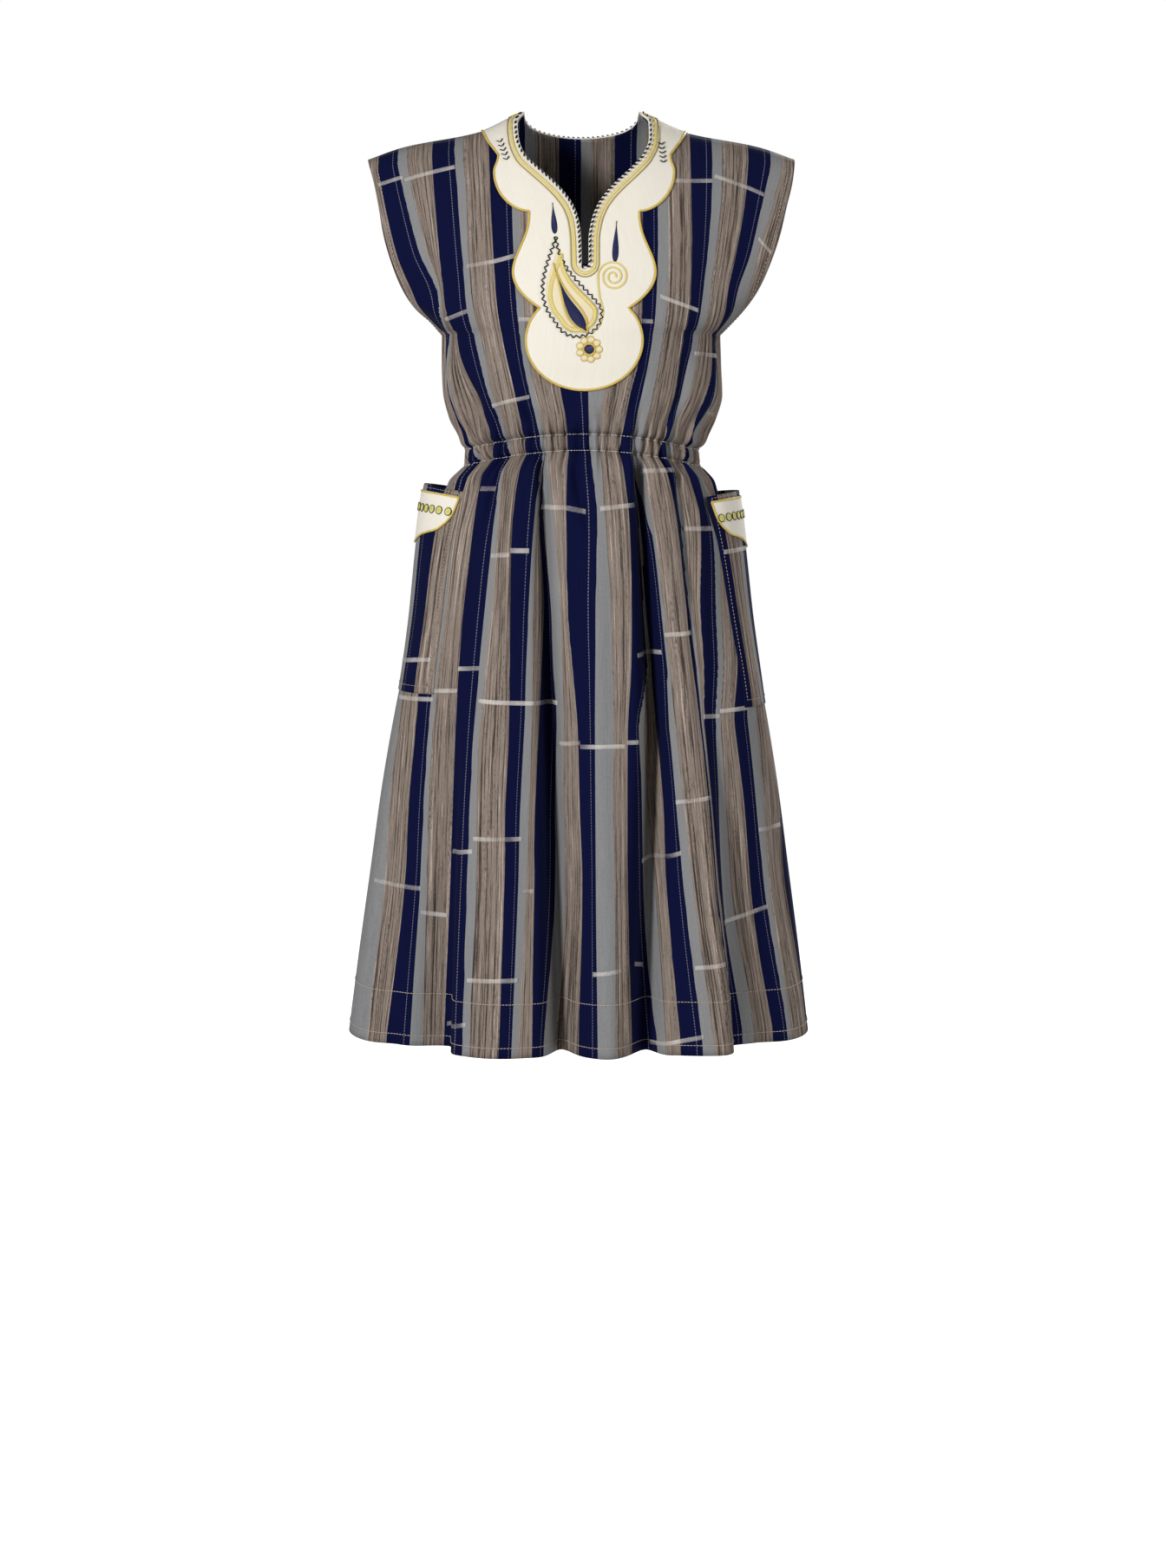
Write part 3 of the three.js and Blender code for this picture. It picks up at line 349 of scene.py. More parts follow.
# The back bodice's strips lie evenly, and the elastic draws them together.
BACK_STRIP_WIDTH = [[-367, 43.7], [-330, 50], [-290, 56], [-229, 60], [0, 60]]
BACK_STRIP_START = 4.4
SKIRT_STRIPS = {
    "front": [
        [0, "grey", [-112, -108, -104, -101.5, -98, -96.5, -95, -96]],
        [0, "brown", [-95, -92, -88, -84.5, -80, -78, -75.5, -73]],
        [1, "navy", [-83, -79, -73, -70.5, -67, -66, -64.5, -66.5]],
        [1, "grey", [-70, -67.5, -64, -62.5, -60.5, -59, -58, -57.5]],
        [1, "brown", [-68.5, -66, -62.5, -61, -59, -57.5, -56, -54]],
        [2, "navy", [-57, -54, -52.5, -51, -49, -48, -47.5, -47]],
        [2, "grey", [-45.5, -41.5, -41, -40.5, -40, -39, -38, -36]],
        [2, "brown", [-44, -40, -38, -38, -38, -36.5, -35, -34]],
        [3, "navy", [-34.5, -32.5, -29.5, -28, -26.5, -26, -25, -24.5]],
        [3, "grey", [-24, -22, -22, -21.5, -21, -21, -20.5, -20.5]],
        [3, "brown", [-23.8, -21.5, -20.5, -19.5, -18.5, -18, -18, -19]],
        [4, "navy", [-23.6, -21, -16.5, -16.2, -16, -16, -15.5, -14.5]],
        [4, "grey", [-23.2, -19.5, -13, -11.5, -9, -9, -8.5, -11]],
        [4, "brown", [-21, -13, -8.5, -7.5, -6.5, -6, -5, -7.5]],
        [5, "navy", [-8, -7, -5.5, -3.5, -1, 0, 1, 0]],
        [5, "grey", [5, 8, 6.5, 6, 5.5, 5.5, 5.5, 6]],
        [5, "brown", [10.5, 11.5, 13, 12.8, 12.5, 12, 12, 11.5]],
        [6, "navy", [23, 23.5, 22, 20.5, 18, 17, 16.5, 17]],
        [6, "grey", [31, 31.6, 30.6, 30.3, 22.5, 23, 23, 25.5]],
        [6, "brown", [31.2, 31.8, 30.8, 30.5, 24, 25.5, 27.3, 27.5]],
        [7, "navy", [31.4, 32, 31, 30.8, 31.5, 31, 30, 32]],
        [7, "grey", [31.8, 34.9, 35.7, 35.3, 34.2, 34.7, 35.6, 38.5]],
        [7, "brown", [37.5, 35.2, 36, 35.7, 36, 37, 38.2, 41.5]],
        [8, "navy", [49, 48, 46.5, 46.2, 46, 46, 46, 51]],
        [8, "grey", [55, 52, 48.6, 47.5, 46.4, 46.5, 46.3, 51.3]],
        [8, "brown", [58, 53, 49, 48, 46.8, 47, 46.7, 51.5]],
        [9, "navy", [68, 61.5, 52.5, 50.5, 47.2, 47, 47.3, 51.8]],
        [9, "grey", [75, 70.5, 62, 58.5, 53.5, 52.5, 51.5, 57.5]],
        [9, "brown", [79, 74.5, 65, 61, 55.3, 55.2, 55.4, 62]],
        [10, "navy", [96, 88, 75, 69.5, 62, 63, 63.5, 68.5]],
        [10, "grey", [106, 98, 84, 77.5, 69, 69, 69.5, 73.5]],
        [10, "brown", [110, 103, 90, 83.5, 74.5, 73, 71.5, 75]],
        [11, "navy", [118, 112, 104, 100.5, 96, 90, 84, 88.5]],
        [11, "grey", [130, 124, 116, 112.5, 108, 103, 98, 100]],
    ],
    "back": [
        [0, "brown", [-100, -98, -96, -95, -94, -93, -92, -91]],
        [1, "navy", [-90, -88, -86, -85, -84, -83.5, -83, -82]],
        [1, "grey", [-78, -77, -77, -76.5, -76, -75.5, -75, -74.5]],
        [1, "brown", [-74, -73.5, -73.5, -73.2, -73, -72.5, -72, -71.5]],
        [2, "navy", [-62, -62.5, -63, -63.2, -63.5, -63, -63, -63]],
        [2, "grey", [-52, -53, -54, -54.5, -55, -55, -55.5, -55.5]],
        [2, "brown", [-51.8, -52, -51, -51.5, -52, -52, -52, -52.5]],
        [3, "navy", [-51.6, -51, -47, -46, -45, -44.5, -44, -43.5]],
        [3, "grey", [-51.2, -49, -43, -41, -38, -37, -36.5, -36]],
        [3, "brown", [-49, -46, -41, -38.5, -35.5, -35, -34, -33]],
        [4, "navy", [-38, -36, -33, -31, -28, -27, -26, -24.5]],
        [4, "grey", [-27, -26, -24.5, -23, -20.5, -19.5, -18.5, -17]],
        [4, "brown", [-23, -22.5, -21.5, -20, -17.5, -16.5, -15.5, -14]],
        [5, "navy", [-11, -12, -12, -10.5, -9, -8, -7, -5.5]],
        [5, "grey", [0, -2, -3.5, -2.5, -1.5, -0.5, 0.5, 2]],
        [5, "brown", [4, 1.5, -0.5, 0.5, 1.5, 2.5, 3.5, 5]],
        [6, "navy", [16, 12.5, 9, 9.5, 10, 11, 12, 13.5]],
        [6, "grey", [26, 22, 17.5, 17.5, 17.5, 18.5, 19.5, 21]],
        [6, "brown", [26.2, 24, 20.5, 20.5, 20.5, 21.5, 22.5, 24]],
        [7, "navy", [26.4, 26, 27, 28, 29, 30, 31, 32.5]],
        [7, "grey", [26.8, 28, 31, 33.5, 36.5, 37.5, 38.5, 40]],
        [7, "brown", [30, 31, 33.5, 36, 39.5, 40.5, 41.5, 43]],
        [8, "navy", [41, 41.5, 43, 45, 48, 49, 50, 51.5]],
        [8, "grey", [50, 50.5, 52, 53.5, 55.5, 56.5, 57.5, 59]],
        [8, "brown", [54, 54, 55, 56.5, 58.5, 59.5, 60.5, 62]],
        [9, "navy", [64, 64.5, 65, 66, 67, 68, 69, 70.5]],
        [9, "grey", [75, 75, 74.5, 74.5, 74.5, 75.5, 76.5, 78]],
        [9, "brown", [79, 78.5, 78, 77.8, 77.5, 78.5, 79.5, 81]],
        [10, "navy", [91, 90, 89, 87.5, 86, 87, 88, 89.5]],
        [10, "grey", [102, 101, 98, 96.5, 94, 95, 95.5, 97]],
        [10, "brown", [106, 105, 101, 99.5, 97.5, 98, 98.5, 100]],
    ],
}
BANDS = {"navy": 0, "grey": 1, "brown": 2}

# Short passes of a white weft: level and hundredths of the half width at the left end, then at the
# right end. On a pocket they are hundredths of its height and of its width from the front edge.
BAR_HEIGHT = 4.7
WEFT_BARS = {
    "front": [
        [-37, -98, -37, -86],
        [-41, -85.5, -36, -61],
        [-152, -59, -148, -33.5],
        [-212, -77, -203, -61],
        [-214, -33.5, -215, -26.5],
        [-313, -50, -307, -28],
        [-60, 44, -52, 62.5],
        [-46, 63, -58, 88],
        [-111, 89, -125, 98],
        [-188, 42, -202, 63.5],
        [-216, 31.5, -216, 38],
        [-250, 61, -252, 82],
        [-312, 77, -314, 88],
        [-385, 35, -378, 57],
        [-398, -54.5, -400, -46],
        [-422, -20.5, -423, -7.5],
        [-423, -7.5, -427, 2.5],
        [-424, 9.5, -419, 27.5],
        [-438, 52, -435, 71],
        [-465, -41, -465, -32],
        [-461, -32, -462, -23.5],
        [-578, -51, -576, -40.5],
        [-602, -61, -601, -50],
        [-613, -87, -611, -60.5],
        [-610, -39.5, -613, -9],
        [-542, 35.5, -540, 47.5],
        [-563, 23.5, -560, 34],
        [-627, 47.5, -628, 55.5],
        [-623, 56, -621, 70.5],
        [-655, -8, -653, 0],
        [-657, 0, -657, 17],
        [-653, 17.5, -653, 22],
        [-716, 34.5, -711, 47],
        [-770, -47, -766, -37],
        [-753, -37, -752, -20],
        [-751, 69, -750, 85.5],
        [-779, 22.5, -768, 35.5],
        [-808, -82.5, -810, -57.5],
        [-806, -19, -806, -15.5],
        [-835, -57, -838, -48],
        [-845, 51, -832, 70.5],
        [-886, 37.5, -883, 47.5],
        [-883, 18.5, -887, 22],
        [-890, 4.5, -887, 14],
        [-898, -36, -896, -19.5],
        [-953, -46, -944, -35.5],
        [-968, 23.5, -957, 39],
    ],
    "back": [
        [-92, -60, -90, -34],
        [-150, 21, -146, 47],
        [-196, -88, -192, -62],
        [-290, -30, -296, -8],
        [-306, 46, -300, 66],
        [-404, -74, -398, -54],
        [-460, 39, -458, 59],
        [-544, -57, -540, -33],
        [-612, 10, -610, 29],
        [-655, 70, -650, 92],
        [-718, -76, -712, -55],
        [-760, -20, -762, -4],
        [-806, 38, -800, 62],
        [-880, -29, -876, -5],
        [-932, 60, -928, 85],
    ],
    "left": [[83, 3, 86, 52]],
    "right": [[26.5, 3, 26.5, 55]],
}

# ---------------------------------------------------------------- sewing and trims

STITCH_LIFT = 0.35
# Stitch lines right across a panel: pitch, length of a stitch and its width.
CASING_STITCH = [3.6, 2.7, 0.8]
HEM_STITCH = [3.4, 3.1, 0.8]
ARMHOLE_STITCH = [4.2, 2.8, 0.6]
POCKET_STITCH = [3.8, 2.6, 0.6]
HEM_LINES = {"hem": 11, "hem_tuck": 56}
SEAM_END = 0.995
ARMHOLE_LINE = 0.968

# The neck's finish: how far each lies from the edge, and how far it is lifted.
ROLL_PLACE = [0.8, 1.3]
SATIN_PLACE = [6.6, YOKE_LIFT]
CORD_PLACE = [10.4, YOKE_LIFT]
ROLL_RADIUS = 1.3
SADDLE_PITCH = 5.0
SADDLE_SPREAD = 2.6
SADDLE_LIFTS = [2.9, 3.1, 0.9]
SADDLE_SLANT = 0.7
SADDLE_STITCH = [5.0, 2.2]
EDGE_LIFT = 1.1

# ---------------------------------------------------------------- curves and surfaces


def curve(inputs, outputs):
    """A smooth curve through a table that never overshoots it (monotone cubic).

    Each inner slope is the weighted harmonic mean of the rises on its two sides, or 0 where they
    differ in sign. The end slopes are the end rises.
    """
    order = np.argsort(inputs)
    xs = np.asarray(inputs, float)[order]
    ys = np.asarray(outputs, float)[order]
    gaps = np.diff(xs)
    rises = np.diff(ys) / gaps
    slopes = np.concatenate([rises[:1], np.zeros(len(xs) - 2), rises[-1:]])
    before, after = 2 * gaps[1:] + gaps[:-1], gaps[1:] + 2 * gaps[:-1]
    agree = rises[:-1] * rises[1:] > 0
    safe_left, safe_right = np.where(agree, rises[:-1], 1), np.where(agree, rises[1:], 1)
    slopes[1:-1] = np.where(agree, (before + after) / (before / safe_left + after / safe_right), 0)

    def value(at):
        """The curve's height at a place, held level beyond the table's ends."""
        held = np.clip(at, xs[0], xs[-1])
        place = np.clip(np.searchsorted(xs, held, side="right") - 1, 0, len(gaps) - 1)
        gap = gaps[place]
        part = (held - xs[place]) / gap
        rest = 1 - part
        return (
            ys[place] * (1 + 2 * part) * rest**2
            + gap * slopes[place] * part * rest**2
            + ys[place + 1] * part**2 * (3 - 2 * part)
            - gap * slopes[place + 1] * part**2 * rest
        )

    return value


def column_curves(columns, rows):
    """One curve for each named column of a table, over its first column."""
    values = np.array(rows, float)
    return {name: curve(values[:, 0], values[:, place]) for place, name in enumerate(columns) if place}


def ease(start, end, value):
    """0 before start and 1 after end, smooth between. start may be above end."""
    part = np.clip((value - start) / (end - start), 0, 1)
    return part * part * (3 - 2 * part)


def mix(first, second, part):
    """The first where part is 0, the second where it is 1, and straight between."""
    return first + (second - first) * part


RING = column_curves(RING_COLUMNS, RINGS)
ARM = column_curves(ARMHOLE_COLUMNS, ARMHOLE)
shoulder_height = curve(*np.array(SHOULDER, float).T)
NECK_SIDE = column_curves(["height", "left", "right"], NECK)
CURVE_STEPS = 420


def upper_outline(panel, level):
    """A level above the underarm as x, depth and height, from one armhole edge to the other.

    It starts as a rounded half ring and bends up, level by level, to the shoulder line: the height
    goes from the underarm to the shoulder's own height as climb goes from 0 to 1.
    """
    climb = 1 - level / UNDERARM_LEVEL
    left, right = ARM["left"](climb), ARM["right"](climb)
    full, climb_power, fall_power, edge_full = BODICE_DEPTH[panel]
    middle = full * (1 - climb**climb_power) ** fall_power
    edge = edge_full * math.sqrt(1 - (1 - min(climb / EDGE_FULL_BY, 1)) ** 2) * math.sqrt(1 - climb**3)
    roundness = mix(2.3, 1.15, ease(0, 0.3, climb))
    across = -np.cos(np.linspace(0, np.pi, CURVE_STEPS))
    bulge = np.maximum(0, 1 - np.abs(across) ** 2.3) ** (1 / roundness)
    top = shoulder_height(np.abs(across) * SHOULDER_REACH)
    x = (left + right) / 2 + (right - left) / 2 * across
    return x, edge + (middle - edge) * bulge, UNDERARM_LEVEL + climb * (top - UNDERARM_LEVEL)


def ring_outline(panel, level):
    """A level below the underarm as x, depth and height: half of a superellipse."""
    left, right = RING["left"](level), RING["right"](level)
    power = RING[panel + "_power"](level)
    angle = np.linspace(0, np.pi, CURVE_STEPS)
    across = -np.sign(np.cos(angle)) * np.abs(np.cos(angle)) ** (2 / power)
    depth = RING[panel](level) * np.maximum(0, np.sin(angle)) ** (2 / power)
    if panel == "front":
        lift = CASING_RISE * ease(UNDERARM_LEVEL, -330, level) * (1 - ease(-372, -560, level))
        lift = lift - FRONT_HEM_DIP * ease(-700, HEM_LEVEL, level)
    else:
        lift = -BACK_HEM_DIP * ease(-500, HEM_LEVEL, level)
    x = (left + right) / 2 + (right - left) / 2 * across
    return x, depth, level + lift * (1 - across**2)


def fold_depth(panel, level, x):
    """How far the skirt's large folds draw the points of a level in.

    Each fold is a bell curve across, with its own width on each side. Its middle and depth go
    straight from the waist to the hip and from the hip to the hem, and it widens all the way down.
    """
    down = np.clip((level - CASING_BOTTOM) / (HEM_LEVEL - CASING_BOTTOM), 0, 1)
    widening = mix(FOLD_WIDTH_AT_WAIST, 1, down)
    stations = [HEM_LEVEL, HIP_LEVEL, CASING_BOTTOM]
    total = np.zeros_like(x)
    for fold in FOLDS[panel]:
        middle = np.interp(level, stations, fold[2::-1])
        depth = np.interp(level, stations, fold[5:2:-1])
        width = widening * np.where(x < middle, fold[6], fold[7])
        total += depth * np.exp(-(((x - middle) / width) ** 2))
    return total * ease(FOLD_START, FOLD_FULL, level)


def crease_depth(panel, level, share, half_girth):
    """How far the long creases and the puckers of the casing draw the points of a level in.

    A crease is a bell curve across, swelling from nothing at its two ends. A pucker does the same
    from the casing upward and downward, and is only shallow on the casing's own band.
    """
    total = np.zeros_like(share)
    for top, top_share, mid, mid_share, low, low_share, depth, width in CREASES[panel]:
        along = (top - level) / (top - low)
        if not 0 < along < 1:
            continue
        middle = np.interp(level, [low, mid, top], [low_share, mid_share, top_share])
        swell = math.sin(math.pi * along) ** 0.8
        total += depth * swell * np.exp(-(((share - middle) * half_girth / width) ** 2))
    centre = (CASING_TOP + CASING_BOTTOM) / 2
    half_band = (CASING_TOP - CASING_BOTTOM) / 2
    off_band = abs(level - centre) - half_band
    for middle, up, down, depth, width in PUCKERS[panel]:
        reach = up if level > centre else down
        if off_band >= reach:
            continue
        if off_band < 0:
            strength = PUCKER_STRENGTH + PUCKER_EDGE_GAIN * (abs(level - centre) / half_band) ** 2
        else:
            part = off_band / reach
            swelling = PUCKER_STRENGTH + PUCKER_EDGE_GAIN + PUCKER_GAIN * part
            strength = swelling * (1 - part) ** PUCKER_FADE_POWER
        wide = width * (1 + max(0, off_band) / reach * PUCKER_WIDENING)
        total += depth * strength * np.exp(-(((share - middle) * half_girth / wide) ** 2))
    return total


def casing_puff(level):
    """The elastic's channel and the cloth above and below it stand out between its stitch lines.

    Each stitch line draws the cloth in as a narrow bell, and the cloth beyond it swells as a wide
    one that dies away.
    """
    total = 0.0
    for line, away in ((CASING_TOP, level - CASING_TOP), (CASING_BOTTOM, CASING_BOTTOM - level)):
        total -= LINE_DRAWN_IN * math.exp(-((away / LINE_WIDTH) ** 2))
        if away > 0:
            total += BLOUSE[line] * (away / BLOUSE_REACH) * math.exp(1 - away / BLOUSE_REACH)
        else:
            total += CHANNEL_PUFF / 2
    return total


def normals_of(points, facing):
    """The outward direction at each point of a grid: the cross product of down and across."""
    down = np.gradient(points, axis=0)
    across = np.gradient(points, axis=1)
    normals = np.cross(down, across) * facing
    return normals / np.maximum(np.linalg.norm(normals, axis=2, keepdims=True), 1e-9)


class Sheet:
    """Cloth as a grid of points and outward directions over two coordinates, row and column."""

    def __init__(self, rows, columns, points, facing):
        self.rows, self.columns, self.points, self.facing = rows, columns, points, facing
        self.normals = normals_of(points, facing)

    def read(self, field, row, column):
        """A field of the grid at row and column values, between the four grid points round each."""
        r = np.interp(row, self.rows, np.arange(len(self.rows)))
        c = np.interp(column, self.columns, np.arange(len(self.columns)))
        r0 = np.clip(r.astype(int), 0, len(self.rows) - 2)
        c0 = np.clip(c.astype(int), 0, len(self.columns) - 2)
        a, b = (r - r0)[..., None], (c - c0)[..., None]
        upper = field[r0, c0] * (1 - b) + field[r0, c0 + 1] * b
        lower = field[r0 + 1, c0] * (1 - b) + field[r0 + 1, c0 + 1] * b
        return upper * (1 - a) + lower * a

    def at(self, row, column, lift=0.0):
        """Points and outward directions at row and column values, lifted off the sheet."""
        normal = self.read(self.normals, row, column)
        normal /= np.linalg.norm(normal, axis=-1, keepdims=True)
        return self.read(self.points, row, column) + normal * np.asarray(lift)[..., None], normal

    def find(self, x, z):
        """Row and column values of the points that are at x and z as seen from in front.

        A point above the last row is taken down to it.
        It starts at the nearest grid point and goes on by Newton's method with small differences.
        """
        x = np.asarray(x, float)
        z = np.minimum(z, np.interp(x, self.points[-1, :, 0], self.points[-1, :, 2]))
        step = 4
        seen = self.points[::step, ::step]
        flat = seen.reshape(-1, 3)
        away = (x.reshape(-1, 1) - flat[:, 0]) ** 2 + (z.reshape(-1, 1) - flat[:, 2]) ** 2
        nearest = np.argmin(away, axis=1)
        row = self.rows[::step][nearest // seen.shape[1]].reshape(x.shape).astype(float)
        column = self.columns[::step][nearest % seen.shape[1]].reshape(x.shape).astype(float)
        row_step = (self.rows[-1] - self.rows[0]) * 0.002
        column_step = (self.columns[-1] - self.columns[0]) * 0.002
        for _ in range(8):
            here = self.at(row, column)[0]
            by_row = (self.at(row + row_step, column)[0] - here) / row_step
            by_column = (self.at(row, column + column_step)[0] - here) / column_step
            missing_x, missing_z = x - here[..., 0], z - here[..., 2]
            area = by_row[..., 0] * by_column[..., 2] - by_row[..., 2] * by_column[..., 0]
            area = np.where(np.abs(area) < 1e-6, 1e-6, area)
            row_move = (missing_x * by_column[..., 2] - missing_z * by_column[..., 0]) / area
            column_move = (by_row[..., 0] * missing_z - by_row[..., 2] * missing_x) / area
            row = np.clip(row + np.clip(row_move, -20, 20), self.rows.min(), self.rows.max())
            column = np.clip(column + np.clip(column_move, -0.1, 0.1), -1, 1)
        return row, column


def panel_sheet(panel, levels, shares, creased=True):
    """A whole panel. Its columns are at equal lengths along each level, its folds drawn inward.

    Its lengths are kept too: along each level, from the middle line, before the folds. Towards the
    shoulder seam its outward directions turn straight up, so that what lies on the front and on the
    back meets there. Without its creases it keeps the large folds alone.
    """
    facing = -1 if panel == "front" else 1
    points = np.empty((len(levels), len(shares), 3))
    lengths = np.empty((len(levels), len(shares)))
    for place, level in enumerate(levels):
        outline = upper_outline if level > UNDERARM_LEVEL else ring_outline
        x, depth, z = outline(panel, level)
        length = np.concatenate([[0], np.cumsum(np.hypot(np.diff(x), np.diff(depth)))])
        girth = length[-1]
        at = (shares + 1) / 2 * girth
        lengths[place] = at - np.interp(0, x, length)
        px, pd, pz = (np.interp(at, length, line) for line in (x, depth, z))
        tx = np.interp(at + 1, length, x) - np.interp(at - 1, length, x)
        td = np.interp(at + 1, length, depth) - np.interp(at - 1, length, depth)
        size = np.hypot(tx, td)
        free = ease(0, 0.03, 1 - np.abs(shares))
        inward = fold_depth(panel, level, px)
        if creased:
            inward = inward + crease_depth(panel, level, shares, girth / 2) - casing_puff(level)
        inward = inward * free
        points[place, :, 0] = px + td / size * inward
        points[place, :, 1] = facing * (pd - tx / size * inward)
        points[place, :, 2] = pz
    # The rows count from the hem up, so up crossed with right looks to +Y.
    sheet = Sheet(levels, shares, points, facing)
    sheet.lengths = lengths
    sheet.normals = mix(sheet.normals, np.array([0.0, 0.0, 1.0]), ease(-18, 0, levels)[:, None, None])
    sheet.normals /= np.linalg.norm(sheet.normals, axis=2, keepdims=True)
    return sheet


LEVELS = np.concatenate(
    [
        np.linspace(HEM_LEVEL, -440, 70, endpoint=False),
        np.linspace(-440, -378, 24, endpoint=False),
        np.linspace(-378, -340, 26, endpoint=False),
        np.linspace(-340, UNDERARM_LEVEL, 32, endpoint=False),
        np.linspace(UNDERARM_LEVEL, 0, 50),
    ]
)
LEVELS[np.argmin(np.abs(LEVELS - CASING_BOTTOM))] = CASING_BOTTOM
FRONT = panel_sheet("front", LEVELS, np.linspace(-1, 1, 229))
BACK = panel_sheet("back", LEVELS, np.linspace(-1, 1, 191))

# ---------------------------------------------------------------- outlines


def neck_edge():
    """The neck opening's edge as x and z, from the left shoulder round the slit to the right one."""
    z = np.linspace(NECK[0][0], SLIT_END, 70)
    turn = np.linspace(0, np.pi, 14)[1:-1]
    half = (NECK_SIDE["right"](SLIT_END) - NECK_SIDE["left"](SLIT_END)) / 2
    x = np.concatenate(
        [NECK_SIDE["left"](z), SLIT_MIDDLE - half * np.cos(turn), NECK_SIDE["right"](z[::-1])]
    )
    z = np.concatenate([z, SLIT_END - (SLIT_END - SLIT_BOTTOM) * np.sin(turn), z[::-1]])
    return np.stack([x, z], axis=1)


def back_neck_edge(steps=60):
    """The back neck edge: a shallow scoop between the same shoulder points."""
    angle = np.linspace(0, np.pi, steps)
    left, right, top = NECK[0][1], NECK[0][2], NECK[0][0]
    x = (left + right) / 2 - (right - left) / 2 * np.cos(angle)
    return np.stack([x, top + (BACK_NECK_BOTTOM - top) * np.maximum(np.sin(angle), 0) ** 0.8], axis=1)


def yoke_half_edge():
    """The yoke's right edge from the shoulder to its foot, as half width and height.

    Each lobe leaves its upper cusp and swells to its fullest as a power of a smooth step, and then
    rounds in to its lower cusp as a power of 1 minus the square of the way there. The foot is part
    of an ellipse.
    """
    halves = [YOKE_SHOULDER[0], YOKE_SHOULDER_CURVE[0]]
    heights = [YOKE_SHOULDER[1], YOKE_SHOULDER_CURVE[1]]
    for start, start_half, full, full_half, end, end_half, round_power in YOKE_LOBES:
        z = mix(start, end, (1 - np.cos(np.linspace(0, np.pi, 60)[:-1])) / 2)
        upper = z > full
        away = np.where(upper, (z - full) / (start - full), (full - z) / (full - end))
        swelling = ease(1, 0, away) ** LOBE_SWELL_POWER
        rounding = np.maximum(0, 1 - away**2) ** round_power
        rise = np.where(upper, swelling, rounding)
        cusp = np.where(upper, start_half, end_half)
        halves += list(cusp + (full_half - cusp) * rise)
        heights += list(z)
    end, end_half = YOKE_LOBES[-1][4], YOKE_LOBES[-1][5]
    angle = np.linspace(math.acos(end_half / YOKE_FOOT_HALF), -math.pi / 2, 70)
    reach = np.where(angle > 0, (end - YOKE_FOOT_HEIGHT) / math.sin(angle[0]), YOKE_FOOT_DROP)
    halves += list(YOKE_FOOT_HALF * np.cos(angle))
    heights += list(YOKE_FOOT_HEIGHT + reach * np.sin(angle))
    return np.array(halves), np.array(heights)


def resample(path, count):
    """count points at equal lengths along a path."""
    steps = np.linalg.norm(np.diff(path, axis=0), axis=1)
    length = np.concatenate([[0], np.cumsum(steps)])
    at = np.linspace(0, length[-1], count)
    return np.stack([np.interp(at, length, path[:, k]) for k in range(path.shape[1])], axis=1)


def spread(edge, distance):
    """A flat edge moved to the right of its own direction of travel, which is away from the neck."""
    run = np.gradient(edge, axis=0)
    run /= np.maximum(np.linalg.norm(run, axis=1, keepdims=True), 1e-9)
    return edge + np.stack([run[:, 1], -run[:, 0]], axis=1) * distance


# ---------------------------------------------------------------- meshes


def make_piece(name, points, faces, material, uv=None):
    """A smooth mesh from points in millimetres. uv holds one pair for each corner of each face."""
    mesh = bpy.data.meshes.new(name)
    mesh.from_pydata((np.asarray(points) * MM).tolist(), [], [list(map(int, face)) for face in faces])
    if uv is not None:
        layer = mesh.uv_layers.new(name="weave")
        layer.data.foreach_set("uv", np.asarray(uv, np.float32).ravel())
    mesh.materials.append(material)
    mesh.polygons.foreach_set("use_smooth", [True] * len(mesh.polygons))
    mesh.validate()
    piece = bpy.data.objects.new(name, mesh)
    bpy.context.scene.collection.objects.link(piece)
    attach(piece, "root")
    return piece


def grid_faces(rows, columns, facing, keep=None):
    """Quads of a grid whose rows run down and columns to the right, seen from outside when facing is 1."""
    index = np.arange(rows * columns).reshape(rows, columns)
    quads = np.stack([index[:-1, :-1], index[1:, :-1], index[1:, 1:], index[:-1, 1:]], axis=-1)
    quads = quads.reshape(-1, 4) if keep is None else quads[keep]
    return quads if facing > 0 else quads[:, ::-1]


def thicken(piece, thickness):
    """Gives a sheet its thickness on its inner side."""
    wall = piece.modifiers.new("thickness", "SOLIDIFY")
    wall.thickness = thickness * MM
    wall.offset = -1
    wall.use_even_offset = False
    wall.use_rim = True
    return piece


